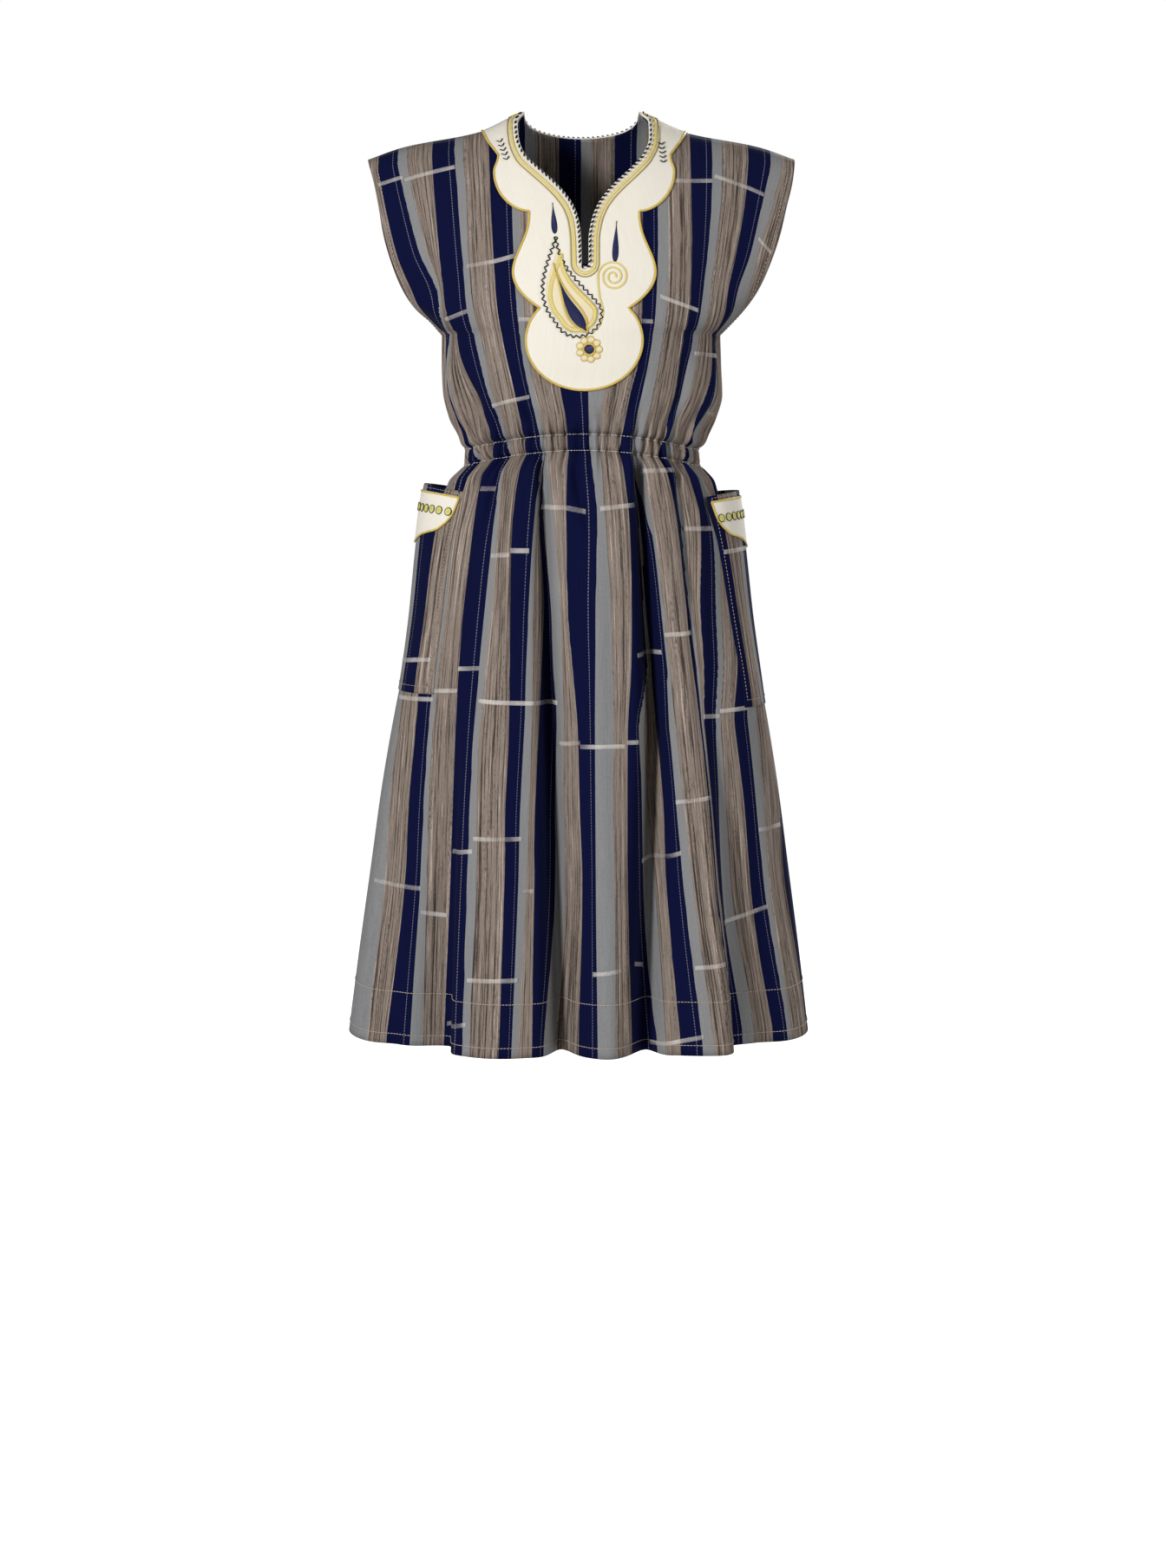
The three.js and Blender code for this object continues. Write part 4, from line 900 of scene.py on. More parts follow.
def sweep(name, points, normals, profile, material, closed=False):
    """A bar along a path: at each point the profile stands on the cloth, across the path and up.

    The profile is a closed loop of (across, up) in millimetres. The map's u goes round the profile
    and v is the length along the path in metres.
    """
    if closed:
        run = np.roll(points, -1, axis=0) - np.roll(points, 1, axis=0)
    else:
        run = np.gradient(points, axis=0)
    run /= np.maximum(np.linalg.norm(run, axis=1, keepdims=True), 1e-9)
    side = np.cross(run, normals)
    side /= np.maximum(np.linalg.norm(side, axis=1, keepdims=True), 1e-9)
    up = np.cross(side, run)
    profile = np.asarray(profile, float)
    rings = points[:, None] + side[:, None] * profile[None, :, :1] + up[:, None] * profile[None, :, 1:]
    count, around = len(points), len(profile)
    index = np.arange(count * around).reshape(count, around)
    if closed:
        index = np.vstack([index, index[:1]])
    after = np.roll(index, -1, axis=1)
    quads = np.stack([index[:-1], index[1:], after[1:], after[:-1]], axis=-1).reshape(-1, 4)
    length = np.concatenate([[0], np.cumsum(np.linalg.norm(np.diff(points, axis=0), axis=1))]) * MM
    if closed:
        length = np.append(length, length[-1] + np.linalg.norm(points[0] - points[-1]) * MM)
    v0 = np.repeat(length[:-1], around)[: len(quads)]
    v1 = np.repeat(length[1:], around)[: len(quads)]
    u0 = np.tile(np.arange(around) / around, len(index) - 1)
    u1 = u0 + 1 / around
    uv = np.stack([u0, v0, u0, v1, u1, v1, u1, v0], axis=1).reshape(-1, 2)
    vertices = rings.reshape(-1, 3)
    faces = quads.tolist()
    if not closed:
        first, last = len(vertices), len(vertices) + 1
        vertices = np.vstack([vertices, rings[0].mean(axis=0), rings[-1].mean(axis=0)])
        faces += [[first, index[0][k], after[0][k]] for k in range(around)]
        faces += [[last, after[-1][k], index[-1][k]] for k in range(around)]
        uv = np.vstack([uv, np.zeros((around * 6, 2))])
    return make_piece(name, vertices, faces, material, uv)


def round_profile(radius, sides, lift=0.0):
    """A circle of so many sides, lifted off the cloth."""
    angle = np.linspace(0, 2 * np.pi, sides, endpoint=False)
    return np.stack([radius * np.cos(angle), lift + radius * np.sin(angle)], axis=1)


def band_profile(width, height):
    """A domed band: rounded on top, and flat underneath where it sinks in a little."""
    across = np.linspace(-1, 1, 7)
    top = np.stack([across * width / 2, height * np.sqrt(np.maximum(0, 1 - across**4))], axis=1)
    under = np.stack([np.linspace(0.6, -0.6, 3) * width / 2, np.full(3, -0.3)], axis=1)
    return np.vstack([top, under])[::-1]


def stitch_shape():
    """One stitch of thread, a five-sided spindle along its own first axis, 1 long and 1 thick."""
    sides = 5
    angle = np.linspace(0, 2 * np.pi, sides, endpoint=False)
    rings = [
        np.stack([np.full(sides, along), radius * np.cos(angle), radius * np.sin(angle)], axis=1)
        for along, radius in [(-0.36, 0.36), (0, 0.5), (0.36, 0.36)]
    ]
    points = np.vstack([*rings, [[-0.5, 0, 0]], [[0.5, 0, 0]]])
    index = np.arange(3 * sides).reshape(3, sides)
    after = np.roll(index, -1, axis=1)
    faces = np.stack([index[:-1], after[:-1], after[1:], index[1:]], axis=-1).reshape(-1, 4).tolist()
    faces += [[3 * sides, after[0][k], index[0][k]] for k in range(sides)]
    faces += [[3 * sides + 1, index[2][k], after[2][k]] for k in range(sides)]
    return points, faces


def stitches(name, centres, runs, normals, length, width, material):
    """Many stitches: the spindle placed at each centre, along each run, standing on the cloth."""
    shape, faces = stitch_shape()
    runs = runs / np.maximum(np.linalg.norm(runs, axis=1, keepdims=True), 1e-9)
    side = np.cross(normals, runs)
    side /= np.maximum(np.linalg.norm(side, axis=1, keepdims=True), 1e-9)
    up = np.cross(runs, side)
    long = np.broadcast_to(length, (len(centres),))[:, None, None]
    points = (
        centres[:, None]
        + runs[:, None] * shape[None, :, :1] * long
        + side[:, None] * shape[None, :, 1:2] * width
        + up[:, None] * shape[None, :, 2:] * width
    )
    starts = range(0, len(centres) * len(shape), len(shape))
    all_faces = [[corner + start for corner in face] for start in starts for face in faces]
    return make_piece(name, points.reshape(-1, 3), all_faces, material)


def stitch_line(name, sheet, rows, columns, pitch, length, width, material):
    """A line of running stitches along a path on a sheet."""
    path, normal = sheet.at(rows, columns, np.full(len(rows), STITCH_LIFT))
    total = np.linalg.norm(np.diff(path, axis=0), axis=1).sum()
    count = max(3, int(total / pitch))
    both = resample(np.hstack([path, normal]), count)
    runs = np.gradient(both[:, :3], axis=0)
    return stitches(name, both[:, :3], runs, both[:, 3:], length, width, material)


# ---------------------------------------------------------------- materials


def colour(red, green, blue):
    """A screen colour, 0 to 255, as the shader's linear colour."""
    parts = np.array([red, green, blue]) / 255
    linear = np.where(parts <= 0.04045, parts / 12.92, ((parts + 0.055) / 1.055) ** 2.4)
    return (*linear.tolist(), 1.0)


def put(tree, socket, value):
    """Links a socket to another, or sets its plain value."""
    if isinstance(value, bpy.types.NodeSocket):
        tree.links.new(value, socket)
    elif value is not None:
        socket.default_value = value


def node(tree, kind, *values, **settings):
    """A node with its settings, and its inputs in order, as sockets to link or as plain values."""
    made = tree.nodes.new("ShaderNode" + kind)
    for name, value in settings.items():
        setattr(made, name, value)
    for socket, value in zip(made.inputs, values):
        put(tree, socket, value)
    return made


def maths(tree, operation, first, second=None, third=None, clamp=False):
    """A Math node's result."""
    return node(tree, "Math", first, second, third, operation=operation, use_clamp=clamp).outputs[0]


def blend(tree, part, first, second):
    """The first colour where part is 0 and the second where it is 1."""
    made = node(tree, "Mix", data_type="RGBA")
    put(tree, made.inputs[0], part)
    put(tree, made.inputs[6], first)
    put(tree, made.inputs[7], second)
    return made.outputs[2]


def noise(tree, vector, scale, detail=2.0, roughness=0.5):
    """A Noise Texture's height at a vector."""
    return node(tree, "TexNoise", vector, None, scale, detail, roughness).outputs[0]


def ramp(tree, value, stops):
    """A colour ramp with its stops as pairs of place and colour."""
    made = node(tree, "ValToRGB", value)
    elements = made.color_ramp.elements
    while len(elements) < len(stops):
        elements.new(0.5)
    for element, (place, tone) in zip(elements, stops):
        element.position = place
        element.color = tone
    return made.outputs[0]


def new_group(name, inputs, outputs):
    """An empty node group with named number sockets. It gives the tree and its two end nodes."""
    tree = bpy.data.node_groups.new(name, "ShaderNodeTree")
    for label, value in inputs:
        socket = tree.interface.new_socket(label, in_out="INPUT", socket_type="NodeSocketFloat")
        socket.default_value = value
    for label in outputs:
        tree.interface.new_socket(label, in_out="OUTPUT", socket_type="NodeSocketFloat")
    return tree, tree.nodes.new("NodeGroupInput"), tree.nodes.new("NodeGroupOutput")


def plain_weave_group():
    """Threads over and under: the height of a plain weave, and a slow unevenness of the yarn.

    Across and Along are millimetres on the cloth. The height is the larger of a warp thread's
    rounded back and a weft thread's, each showing on alternate squares.
    """
    tree, given, made = new_group(
        "plain weave", [("Across", 0), ("Along", 0), ("Pitch", 1)], ["Height", "Slub"]
    )
    turns = maths(tree, "DIVIDE", 2 * math.pi, given.outputs["Pitch"])
    across = maths(tree, "SINE", maths(tree, "MULTIPLY", given.outputs["Across"], turns))
    along = maths(tree, "SINE", maths(tree, "MULTIPLY", given.outputs["Along"], turns))
    height = maths(tree, "MULTIPLY", across, along)
    rib = maths(tree, "MULTIPLY_ADD", across, 0.6, height)
    drawn_out = maths(tree, "MULTIPLY", given.outputs["Along"], 0.05)
    vector = node(tree, "CombineXYZ", given.outputs["Across"], drawn_out, 0.0)
    put(tree, made.inputs["Height"], rib)
    put(tree, made.inputs["Slub"], noise(tree, vector.outputs[0], 0.55, 3.0, 0.6))
    return tree


def laid_thread_group():
    """Satin stitches side by side: rounded threads of one pitch that cross a band at a slant."""
    inputs = [("Across", 0), ("Along", 0), ("Pitch", 0.55)]
    tree, given, made = new_group("laid threads", inputs, ["Height"])
    slanted = maths(tree, "MULTIPLY_ADD", given.outputs["Across"], 1.4, given.outputs["Along"])
    angle = maths(tree, "DIVIDE", maths(tree, "MULTIPLY", slanted, 2 * math.pi), given.outputs["Pitch"])
    put(tree, made.inputs["Height"], maths(tree, "SINE", angle))
    return tree


PLAIN_WEAVE = plain_weave_group()
LAID_THREADS = laid_thread_group()


def use_group(tree, group, **values):
    """A node group in a tree, with its named inputs set, as its outputs."""
    made = tree.nodes.new("ShaderNodeGroup")
    made.node_tree = group
    for name, value in values.items():
        put(tree, made.inputs[name], value)
    return made.outputs


def new_material(name, roughness, sheen=0.0, specular=0.08):
    """A material, its node tree and its Principled shader, with the plain values set on the shader."""
    material = bpy.data.materials.new(name)
    material.use_nodes = True
    tree = material.node_tree
    shader = tree.nodes["Principled BSDF"]
    shader.inputs["Roughness"].default_value = roughness
    shader.inputs["Sheen Weight"].default_value = sheen
    shader.inputs["Sheen Roughness"].default_value = 0.45
    shader.inputs["Specular IOR Level"].default_value = specular
    return material, tree, shader


def bump(tree, shader, height, strength, distance):
    """Turns a height into the shader's normal."""
    made = node(tree, "Bump", strength, distance)
    put(tree, made.inputs["Height"], height)
    tree.links.new(made.outputs[0], shader.inputs["Normal"])


NAVY = colour(7, 11, 44)
NAVY_WORN = colour(17, 21, 56)
GREY = colour(132, 132, 133)
GREY_DARK = colour(104, 105, 106)
BROWNS = [
    (0.0, colour(52, 45, 41)),
    (0.26, colour(86, 76, 69)),
    (0.42, colour(111, 101, 93)),
    (0.56, colour(134, 118, 108)),
    (0.7, colour(107, 104, 95)),
    (0.84, colour(144, 127, 121)),
    (1.0, colour(168, 153, 139)),
]
FLECK = colour(50, 42, 38)
BLEACHED = colour(226, 220, 214)
SEAM_THREAD = colour(186, 184, 192)
# The seam's place in the navy band and its half width, both as shares of the band, and its stitch.
SEAM_PLACE = 0.73
SEAM_HALF = 0.016
SEAM_PITCH = 3.1
WEAVE_PITCH = 1.3

# Unevenness of the yarn: how much length counts beside width, then scale, detail and roughness.
STREAKS = {
    "long": [0.007, 0.42, 3.0, 0.6],
    "fine": [0.03, 0.9, 3.0, 0.6],
    "mottle": [0.45, 0.75, 2.0, 0.6],
    "cluster": [0.05, 0.12, 2.0, 0.5],
    "fleck": [0.22, 0.85, 2.0, 0.6],
    "patch": [1.0, 0.03, 1.0, 0.5],
}


def strip_cloth(name, bleach=0.0):
    """Cloth of narrow strips: navy, grey and brown bands, with the line where two strips are sewn.

    The map's u is the strips' phase, v the length in metres. The place in its strip in thirds, f,
    picks the band, and each band's real width turns f into millimetres for the threads. The brown
    is streaked along the warp in long soft streaks, finer and shorter ones, and small dark flecks
    that lie across it. bleach mixes in the white of an extra weft.
    """
    material, tree, shader = new_material(name, 0.86, 0.015, 0.03)
    parts = node(tree, "SeparateXYZ", node(tree, "UVMap", uv_map="weave").outputs[0]).outputs
    along = maths(tree, "MULTIPLY", parts[1], 1000.0)
    f = maths(tree, "MULTIPLY", maths(tree, "FRACT", parts[0]), 3.0)
    across = maths(tree, "MULTIPLY", maths(tree, "FLOOR", parts[0]), float(sum(BAND_WIDTHS)))
    for place, width in enumerate(BAND_WIDTHS):
        inside = maths(tree, "SUBTRACT", f, float(place), clamp=True)
        across = maths(tree, "MULTIPLY_ADD", inside, float(width), across)
    weave = use_group(tree, PLAIN_WEAVE, Across=across, Along=along, Pitch=WEAVE_PITCH)

    def streaks(kind):
        """Noise that is drawn out along the warp."""
        length_share, scale, detail, roughness = STREAKS[kind]
        vector = node(tree, "CombineXYZ", across, maths(tree, "MULTIPLY", along, length_share), 0.0)
        return noise(tree, vector.outputs[0], scale, detail, roughness)

    def around_middle(value, gain, middle=0.5):
        """Noise with its swing around its own middle made larger or smaller."""
        return maths(tree, "MULTIPLY_ADD", maths(tree, "SUBTRACT", value, 0.5), gain, middle)

    long_streaks = streaks("long")
    fine_streaks = streaks("fine")
    mottle = streaks("mottle")
    tone = maths(tree, "ADD", around_middle(long_streaks, 2.7), around_middle(fine_streaks, 1.5, 0.0))
    brown = ramp(tree, maths(tree, "ADD", tone, around_middle(mottle, 0.3, 0.0)), BROWNS)
    clusters = around_middle(streaks("cluster"), 1.8, 0.9)
    flecked = maths(tree, "MULTIPLY", streaks("fleck"), clusters)
    fleck = maths(tree, "MULTIPLY", maths(tree, "SUBTRACT", flecked, 0.6), 6.0, clamp=True)
    brown = blend(tree, maths(tree, "MULTIPLY", fleck, 0.6), brown, FLECK)
    worn = around_middle(fine_streaks, 1.6, 0.5)
    pale = maths(tree, "MULTIPLY_ADD", mottle, 0.6, maths(tree, "MULTIPLY", worn, 0.5), clamp=True)
    grey = blend(tree, pale, GREY_DARK, GREY)
    navy = blend(tree, maths(tree, "MULTIPLY", worn, 0.4, clamp=True), NAVY, NAVY_WORN)
    banded = blend(tree, maths(tree, "GREATER_THAN", f, 1.0), navy, grey)
    banded = blend(tree, maths(tree, "GREATER_THAN", f, 2.0), banded, brown)

    from_seam = maths(tree, "ABSOLUTE", maths(tree, "SUBTRACT", f, SEAM_PLACE))
    on_seam = maths(tree, "LESS_THAN", from_seam, SEAM_HALF)
    dash = maths(tree, "LESS_THAN", maths(tree, "FRACT", maths(tree, "DIVIDE", along, SEAM_PITCH)), 0.6)
    sewn = maths(tree, "MULTIPLY", on_seam, maths(tree, "MULTIPLY_ADD", dash, 0.26, 0.03))
    banded = blend(tree, sewn, banded, SEAM_THREAD)
    groove = maths(tree, "SMOOTH_MIN", maths(tree, "MULTIPLY", from_seam, 12.0), 1.0, 0.3)
    if bleach:
        patchy = maths(tree, "MULTIPLY_ADD", streaks("patch"), 0.9, bleach - 0.6)
        thin = maths(tree, "MULTIPLY_ADD", mottle, 0.3, patchy, clamp=True)
        banded = blend(tree, thin, banded, BLEACHED)
    put(tree, shader.inputs["Base Color"], banded)
    put(tree, shader.inputs["Roughness"], maths(tree, "MULTIPLY_ADD", weave["Slub"], 0.2, 0.72))
    threads = maths(tree, "MULTIPLY_ADD", weave["Height"], 0.10, groove)
    height = maths(tree, "MULTIPLY_ADD", weave["Slub"], 0.7, threads)
    bump(tree, shader, height, 0.42, 0.0008)
    return material


def cream_cloth():
    """Close cream cotton: a fine weave over Object coordinates, and a faint unevenness of colour."""
    material, tree, shader = new_material("cream_cotton", 0.78, 0.05)
    parts = node(tree, "SeparateXYZ", node(tree, "TexCoord").outputs["Object"]).outputs
    across = maths(tree, "MULTIPLY", maths(tree, "ADD", parts[0], parts[1]), 1000.0)
    along = maths(tree, "MULTIPLY", parts[2], 1000.0)
    weave = use_group(tree, PLAIN_WEAVE, Across=across, Along=along, Pitch=0.9)
    cream = blend(tree, weave["Slub"], colour(208, 203, 190), colour(220, 215, 203))
    put(tree, shader.inputs["Base Color"], cream)
    bump(tree, shader, maths(tree, "MULTIPLY_ADD", weave["Slub"], 1.2, weave["Height"]), 0.2, 0.0004)
    return material


def satin_thread(name, light, dark, roughness=0.38):
    """Glossy embroidery thread laid side by side, with painted shade in the valleys between the threads:
    the dark tone there and the light tone on the crests.
    """
    material, tree, shader = new_material(name, roughness, 0.0, 0.4)
    parts = node(tree, "SeparateXYZ", node(tree, "UVMap", uv_map="weave").outputs[0]).outputs
    along = maths(tree, "MULTIPLY", parts[1], 1000.0)
    laid = use_group(tree, LAID_THREADS, Across=parts[0], Along=along)["Height"]
    # Painted shade: the threads' height picks the colour, the dark tone in the valleys between them and the
    # light tone on their crests.
    part = maths(tree, "MULTIPLY_ADD", laid, 0.5, 0.5)
    put(tree, shader.inputs["Base Color"], blend(tree, part, dark, light))
    bump(tree, shader, laid, 0.5, 0.0003)
    return material


def sewing_thread(name, tone):
    """Plain sewing thread, a little uneven in tone along each stitch."""
    material, tree, shader = new_material(name, 0.6)
    place = node(tree, "TexCoord").outputs["Object"]
    uneven = noise(tree, place, 700.0, 2.0)
    darker = tuple([part * 0.72 for part in tone[:3]] + [1.0])
    put(tree, shader.inputs["Base Color"], blend(tree, uneven, darker, tone))
    bump(tree, shader, uneven, 0.3, 0.0002)
    return material


STRIP_CLOTH = strip_cloth("strip_cloth")
WEFT_CLOTH = strip_cloth("strip_cloth_with_white_weft", 0.27)
CREAM = cream_cloth()
# Each satin thread's first colour is its crests' tone, and its second is painted shade for the valleys
# between its threads.
GOLD = satin_thread("gold_satin_thread", colour(226, 200, 100), colour(176, 146, 56))
OLD_GOLD = satin_thread("old_gold_thread", colour(196, 176, 96), colour(140, 122, 56))
PALE_GOLD = satin_thread("pale_gold_satin", colour(230, 212, 138), colour(206, 184, 100), 0.4)
CREAM_SATIN = satin_thread("cream_satin_thread", colour(228, 218, 190), colour(216, 202, 160), 0.45)
NAVY_SATIN = satin_thread("navy_satin_thread", colour(24, 30, 88), colour(10, 12, 44))
LIME = satin_thread("yellow_green_satin", colour(222, 214, 132), colour(190, 184, 96))
BLACK_THREAD = sewing_thread("black_thread", colour(16, 15, 20))
OLIVE_THREAD = sewing_thread("dark_olive_thread", colour(74, 70, 36))
WHITE_THREAD = sewing_thread("white_sewing_thread", colour(206, 200, 194))
TAN_THREAD = sewing_thread("tan_sewing_thread", colour(188, 174, 160))

# ---------------------------------------------------------------- the panels


def table_phases(stations, rows, levels, places):
    """The strips' phase at places along each level, from a table of where each band starts."""
    phases = np.array([strip + BANDS[band] / 3 for strip, band, _ in rows])
    held = np.clip(levels, min(stations), max(stations))
    starts = np.stack([curve(stations, values)(held) for _, _, values in rows], axis=-1)
    starts = np.maximum.accumulate(starts, axis=-1) + np.arange(len(rows)) * 1e-4
    return np.stack([np.interp(place, line, phases) for place, line in zip(places, starts)])


def phase_of_length(length):
    """The strips' phase at a length across flat cloth, counted from the start of a navy band."""
    total = float(sum(BAND_WIDTHS))
    edges = np.cumsum([0, *BAND_WIDTHS])
    inside = np.mod(length, total)
    return np.floor(length / total) + np.interp(inside, edges, [0, 1 / 3, 2 / 3, 1])


def bodice_phases(panel, sheet):
    """The strips' phase over a bodice: by the table in front, and by even strips behind."""
    if panel == "front":
        return table_phases(BODICE_LEVELS, FRONT_BODICE, sheet.rows, sheet.lengths)
    width = column_curves(["level", "width"], BACK_STRIP_WIDTH)["width"](sheet.rows)[:, None]
    return phase_of_length((sheet.lengths / width + BACK_STRIP_START) * sum(BAND_WIDTHS))


def skirt_phases(panel, sheet):
    """The strips' phase over a skirt, by its table."""
    places = np.broadcast_to(sheet.columns * 100, sheet.lengths.shape)
    return table_phases(SKIRT_LEVELS, SKIRT_STRIPS[panel], sheet.rows, places)


PHASES = {
    panel: (bodice_phases(panel, sheet), skirt_phases(panel, sheet))
    for panel, sheet in (("front", FRONT), ("back", BACK))
}


def inside_neck(edge, x, z):
    """Whether points seen from in front are inside the neck opening, by its two sides at their height."""
    z_left, x_left = edge[: len(edge) // 2, 1], edge[: len(edge) // 2, 0]
    z_right, x_right = edge[len(edge) // 2 :, 1], edge[len(edge) // 2 :, 0]
    left = np.interp(z, z_left[::-1], x_left[::-1])
    right = np.interp(z, z_right, x_right)
    return (x > left) & (x < right) & (z > edge[:, 1].min())


def panel_piece(panel, sheet, edge):
    """A panel's shell with its neck cut out.

    Quads that lie wholly inside the neck go, and the inner corners of those on its edge move out to
    the nearest place on the edge, so that the cut is clean.
    """
    rows, columns = np.meshgrid(sheet.rows, sheet.columns, indexing="ij")
    inside = inside_neck(edge, sheet.points[..., 0], sheet.points[..., 2])
    whole = inside[:-1, :-1] & inside[1:, :-1] & inside[:-1, 1:] & inside[1:, 1:]
    kept = ~whole
    used = np.zeros(inside.shape, bool)
    for down in (0, 1):
        for right in (0, 1):
            used[down : down + kept.shape[0], right : right + kept.shape[1]] |= kept
    r, c = np.nonzero(inside & used)
    dense = resample(edge, 900)
    seen = sheet.points[r, c][:, [0, 2]]
    nearest = np.argmin(((seen[:, None] - dense[None]) ** 2).sum(axis=2), axis=1)
    rows[r, c], columns[r, c] = sheet.find(dense[nearest, 0], dense[nearest, 1])
    points = sheet.points.copy()
    points[r, c] = sheet.at(rows[r, c], columns[r, c])[0]

    quads = grid_faces(*inside.shape, sheet.facing, kept)
    row_of = quads // inside.shape[1]
    above = row_of.min(axis=1) >= np.searchsorted(sheet.rows, CASING_BOTTOM)
    bodice, skirt = PHASES[panel]
    u = np.where(above[:, None], bodice.ravel()[quads], skirt.ravel()[quads])
    v = -rows.ravel()[quads] * MM
    used_points = np.unique(quads)
    renumber = np.zeros(inside.size, int)
    renumber[used_points] = np.arange(len(used_points))
    piece = make_piece(
        panel + "_cloth",
        points.reshape(-1, 3)[used_points],
        renumber[quads],
        STRIP_CLOTH,
        np.stack([u, v], axis=-1),
    )
    thicken(piece, CLOTH_THICKNESS)
    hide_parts(panel)
    return piece


def weft_bars(name, sheet, phase_at, bars, per_mm):
    """White weft passes: flat ribbons, each straight over the sheet's rows and columns between its ends.

    per_mm is how much the rows count for a millimetre of cloth.
    """
    along = np.linspace(0, 1, 24)[None, None]
    across = np.linspace(-0.5, 0.5, 4)[None, :, None] * BAR_HEIGHT * per_mm
    ends = np.array(bars, float)[:, :, None, None]
    rows = mix(ends[:, 0], ends[:, 2], along) + across
    columns = mix(ends[:, 1], ends[:, 3], along) + 0 * across
    points, _ = sheet.at(rows, columns, np.full(rows.shape, 0.3))
    count, high, long = rows.shape
    faces = grid_faces(high, long, sheet.facing)[None] + (np.arange(count) * high * long)[:, None, None]
    faces = faces.reshape(-1, 4)
    uv = np.stack([phase_at(rows, columns), -points[..., 2] * MM], axis=-1).reshape(-1, 2)[faces]
    return thicken(make_piece(name, points.reshape(-1, 3), faces, WEFT_CLOTH, uv), 0.4)


def panel_bars(panel, sheet):
    """A panel's weft bars, in the colours of the strips that they cross."""
    bodice, skirt = (field[..., None] for field in PHASES[panel])

    def phase_at(rows, columns):
        """The phase of the bodice above the casing, and of the skirt below it."""
        above, below = sheet.read(bodice, rows, columns), sheet.read(skirt, rows, columns)
        return np.where(rows > CASING_BOTTOM, above[..., 0], below[..., 0])

    bars = [[first, left / 100, last, right / 100] for first, left, last, right in WEFT_BARS[panel]]
    return weft_bars("weft_bars_" + panel, sheet, phase_at, bars, 1.0)


front_cloth = panel_piece("front", FRONT, neck_edge())
back_cloth = panel_piece("back", BACK, back_neck_edge())
for panel, sheet in (("front", FRONT), ("back", BACK)):
    panel_bars(panel, sheet)

# ---------------------------------------------------------------- yoke and neck


def on_sheet(sheet, path, lift):
    """Points and directions on a sheet under a path that is given as seen from in front."""
    rows, columns = sheet.find(path[:, 0], path[:, 1])
    return sheet.at(rows, columns, np.full(len(path), lift))


def patch(name, sheet, inner, outer, steps, lift, thickness, material, dome=0.0, early=1.0):
    """A flat shape between two matched edges, laid on a sheet.

    Both edges become rows and columns of the sheet, and the steps between them are straight there.
    dome raises the middle of the patch as a half ellipse. Where early is above 1 the rows get to the
    outer edge before the columns do, as 1 minus a power of what is left.
    """
    inner_rows, inner_columns = sheet.find(inner[:, 0], inner[:, 1])
    outer_rows, outer_columns = sheet.find(outer[:, 0], outer[:, 1])
    part = np.linspace(0, 1, steps)[:, None]
    rows = mix(inner_rows[None], outer_rows[None], 1 - (1 - part) ** early)
    columns = mix(inner_columns[None], outer_columns[None], part)
    rise = lift + dome * np.sqrt(np.maximum(0, 1 - (2 * part - 1) ** 2)) + np.zeros_like(rows)
    points, _ = sheet.at(rows, columns, rise)
    count = inner.shape[0]
    faces = grid_faces(steps, count, 1)
    along = np.linspace(0, np.linalg.norm(np.diff(outer, axis=0), axis=1).sum() * MM, count)
    uv = np.stack(np.broadcast_arrays(part, along[None]), axis=-1).reshape(-1, 2)[faces]
    piece = make_piece(name, points.reshape(-1, 3), faces, material, uv)
    flip_outward(piece, sheet, rows.ravel(), columns.ravel())
    return thicken(piece, thickness)


def flip_outward(piece, sheet, rows, columns):
    """Turns a patch's faces over where its first face looks into the cloth."""
    face = piece.data.polygons[len(piece.data.polygons) // 2]
    corner = face.vertices[0]
    outward = sheet.at(rows[corner : corner + 1], columns[corner : corner + 1])[1][0]
    if np.dot(np.array(face.normal), outward) < 0:
        piece.data.flip_normals()


def yoke_edges():
    """The yoke's outer edge, left shoulder to right shoulder, and the neck edge matched to it.

    Heights on the outer edge go to heights on the neck edge by a table of anchors.
    """
    half, height = yoke_half_edge()
    anchors = np.array(YOKE_ANCHORS)
    path = resample(np.stack([half, height], axis=1), 190)
    half, height = path[:, 0], path[:, 1]
    inner_z = np.interp(height, anchors[:, 0], anchors[:, 1])
    past_slit = np.clip((SLIT_END - inner_z) / (SLIT_END - SLIT_BOTTOM), 0, 1)
    round_end = np.sqrt(np.maximum(0, 1 - past_slit**2))
    end_half = (NECK_SIDE["right"](SLIT_END) - NECK_SIDE["left"](SLIT_END)) / 2
    in_slit_end = inner_z < SLIT_END
    left = np.where(in_slit_end, SLIT_MIDDLE - end_half * round_end, NECK_SIDE["left"](inner_z))
    right = np.where(in_slit_end, SLIT_MIDDLE + end_half * round_end, NECK_SIDE["right"](inner_z))
    edges = (left, right, inner_z), (YOKE_MIDDLE - half, YOKE_MIDDLE + half, height)
    return [
        np.vstack([np.stack([on_left, z], axis=1), np.stack([on_right, z], axis=1)[-2::-1]])
        for on_left, on_right, z in edges
    ]


YOKE_CORD = band_profile(2.6, 1.3)
YOKE_THICKNESS = 1.0
# From this height down to the lowest cusp the rows come to get to the edge early.
EARLY_FROM = -180
EARLY_GAIN = 0.35

inner, outer = yoke_edges()
early = 1 + EARLY_GAIN * ease(EARLY_FROM, YOKE_LOBES[-1][4], outer[:, 1])
yoke = patch("yoke_front_cotton", FRONT, inner, outer, 26, YOKE_LIFT, YOKE_THICKNESS, CREAM, early=early)
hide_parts("yoke_front")
sweep("yoke_edge_cord", *on_sheet(FRONT, outer, EDGE_LIFT), YOKE_CORD, GOLD)


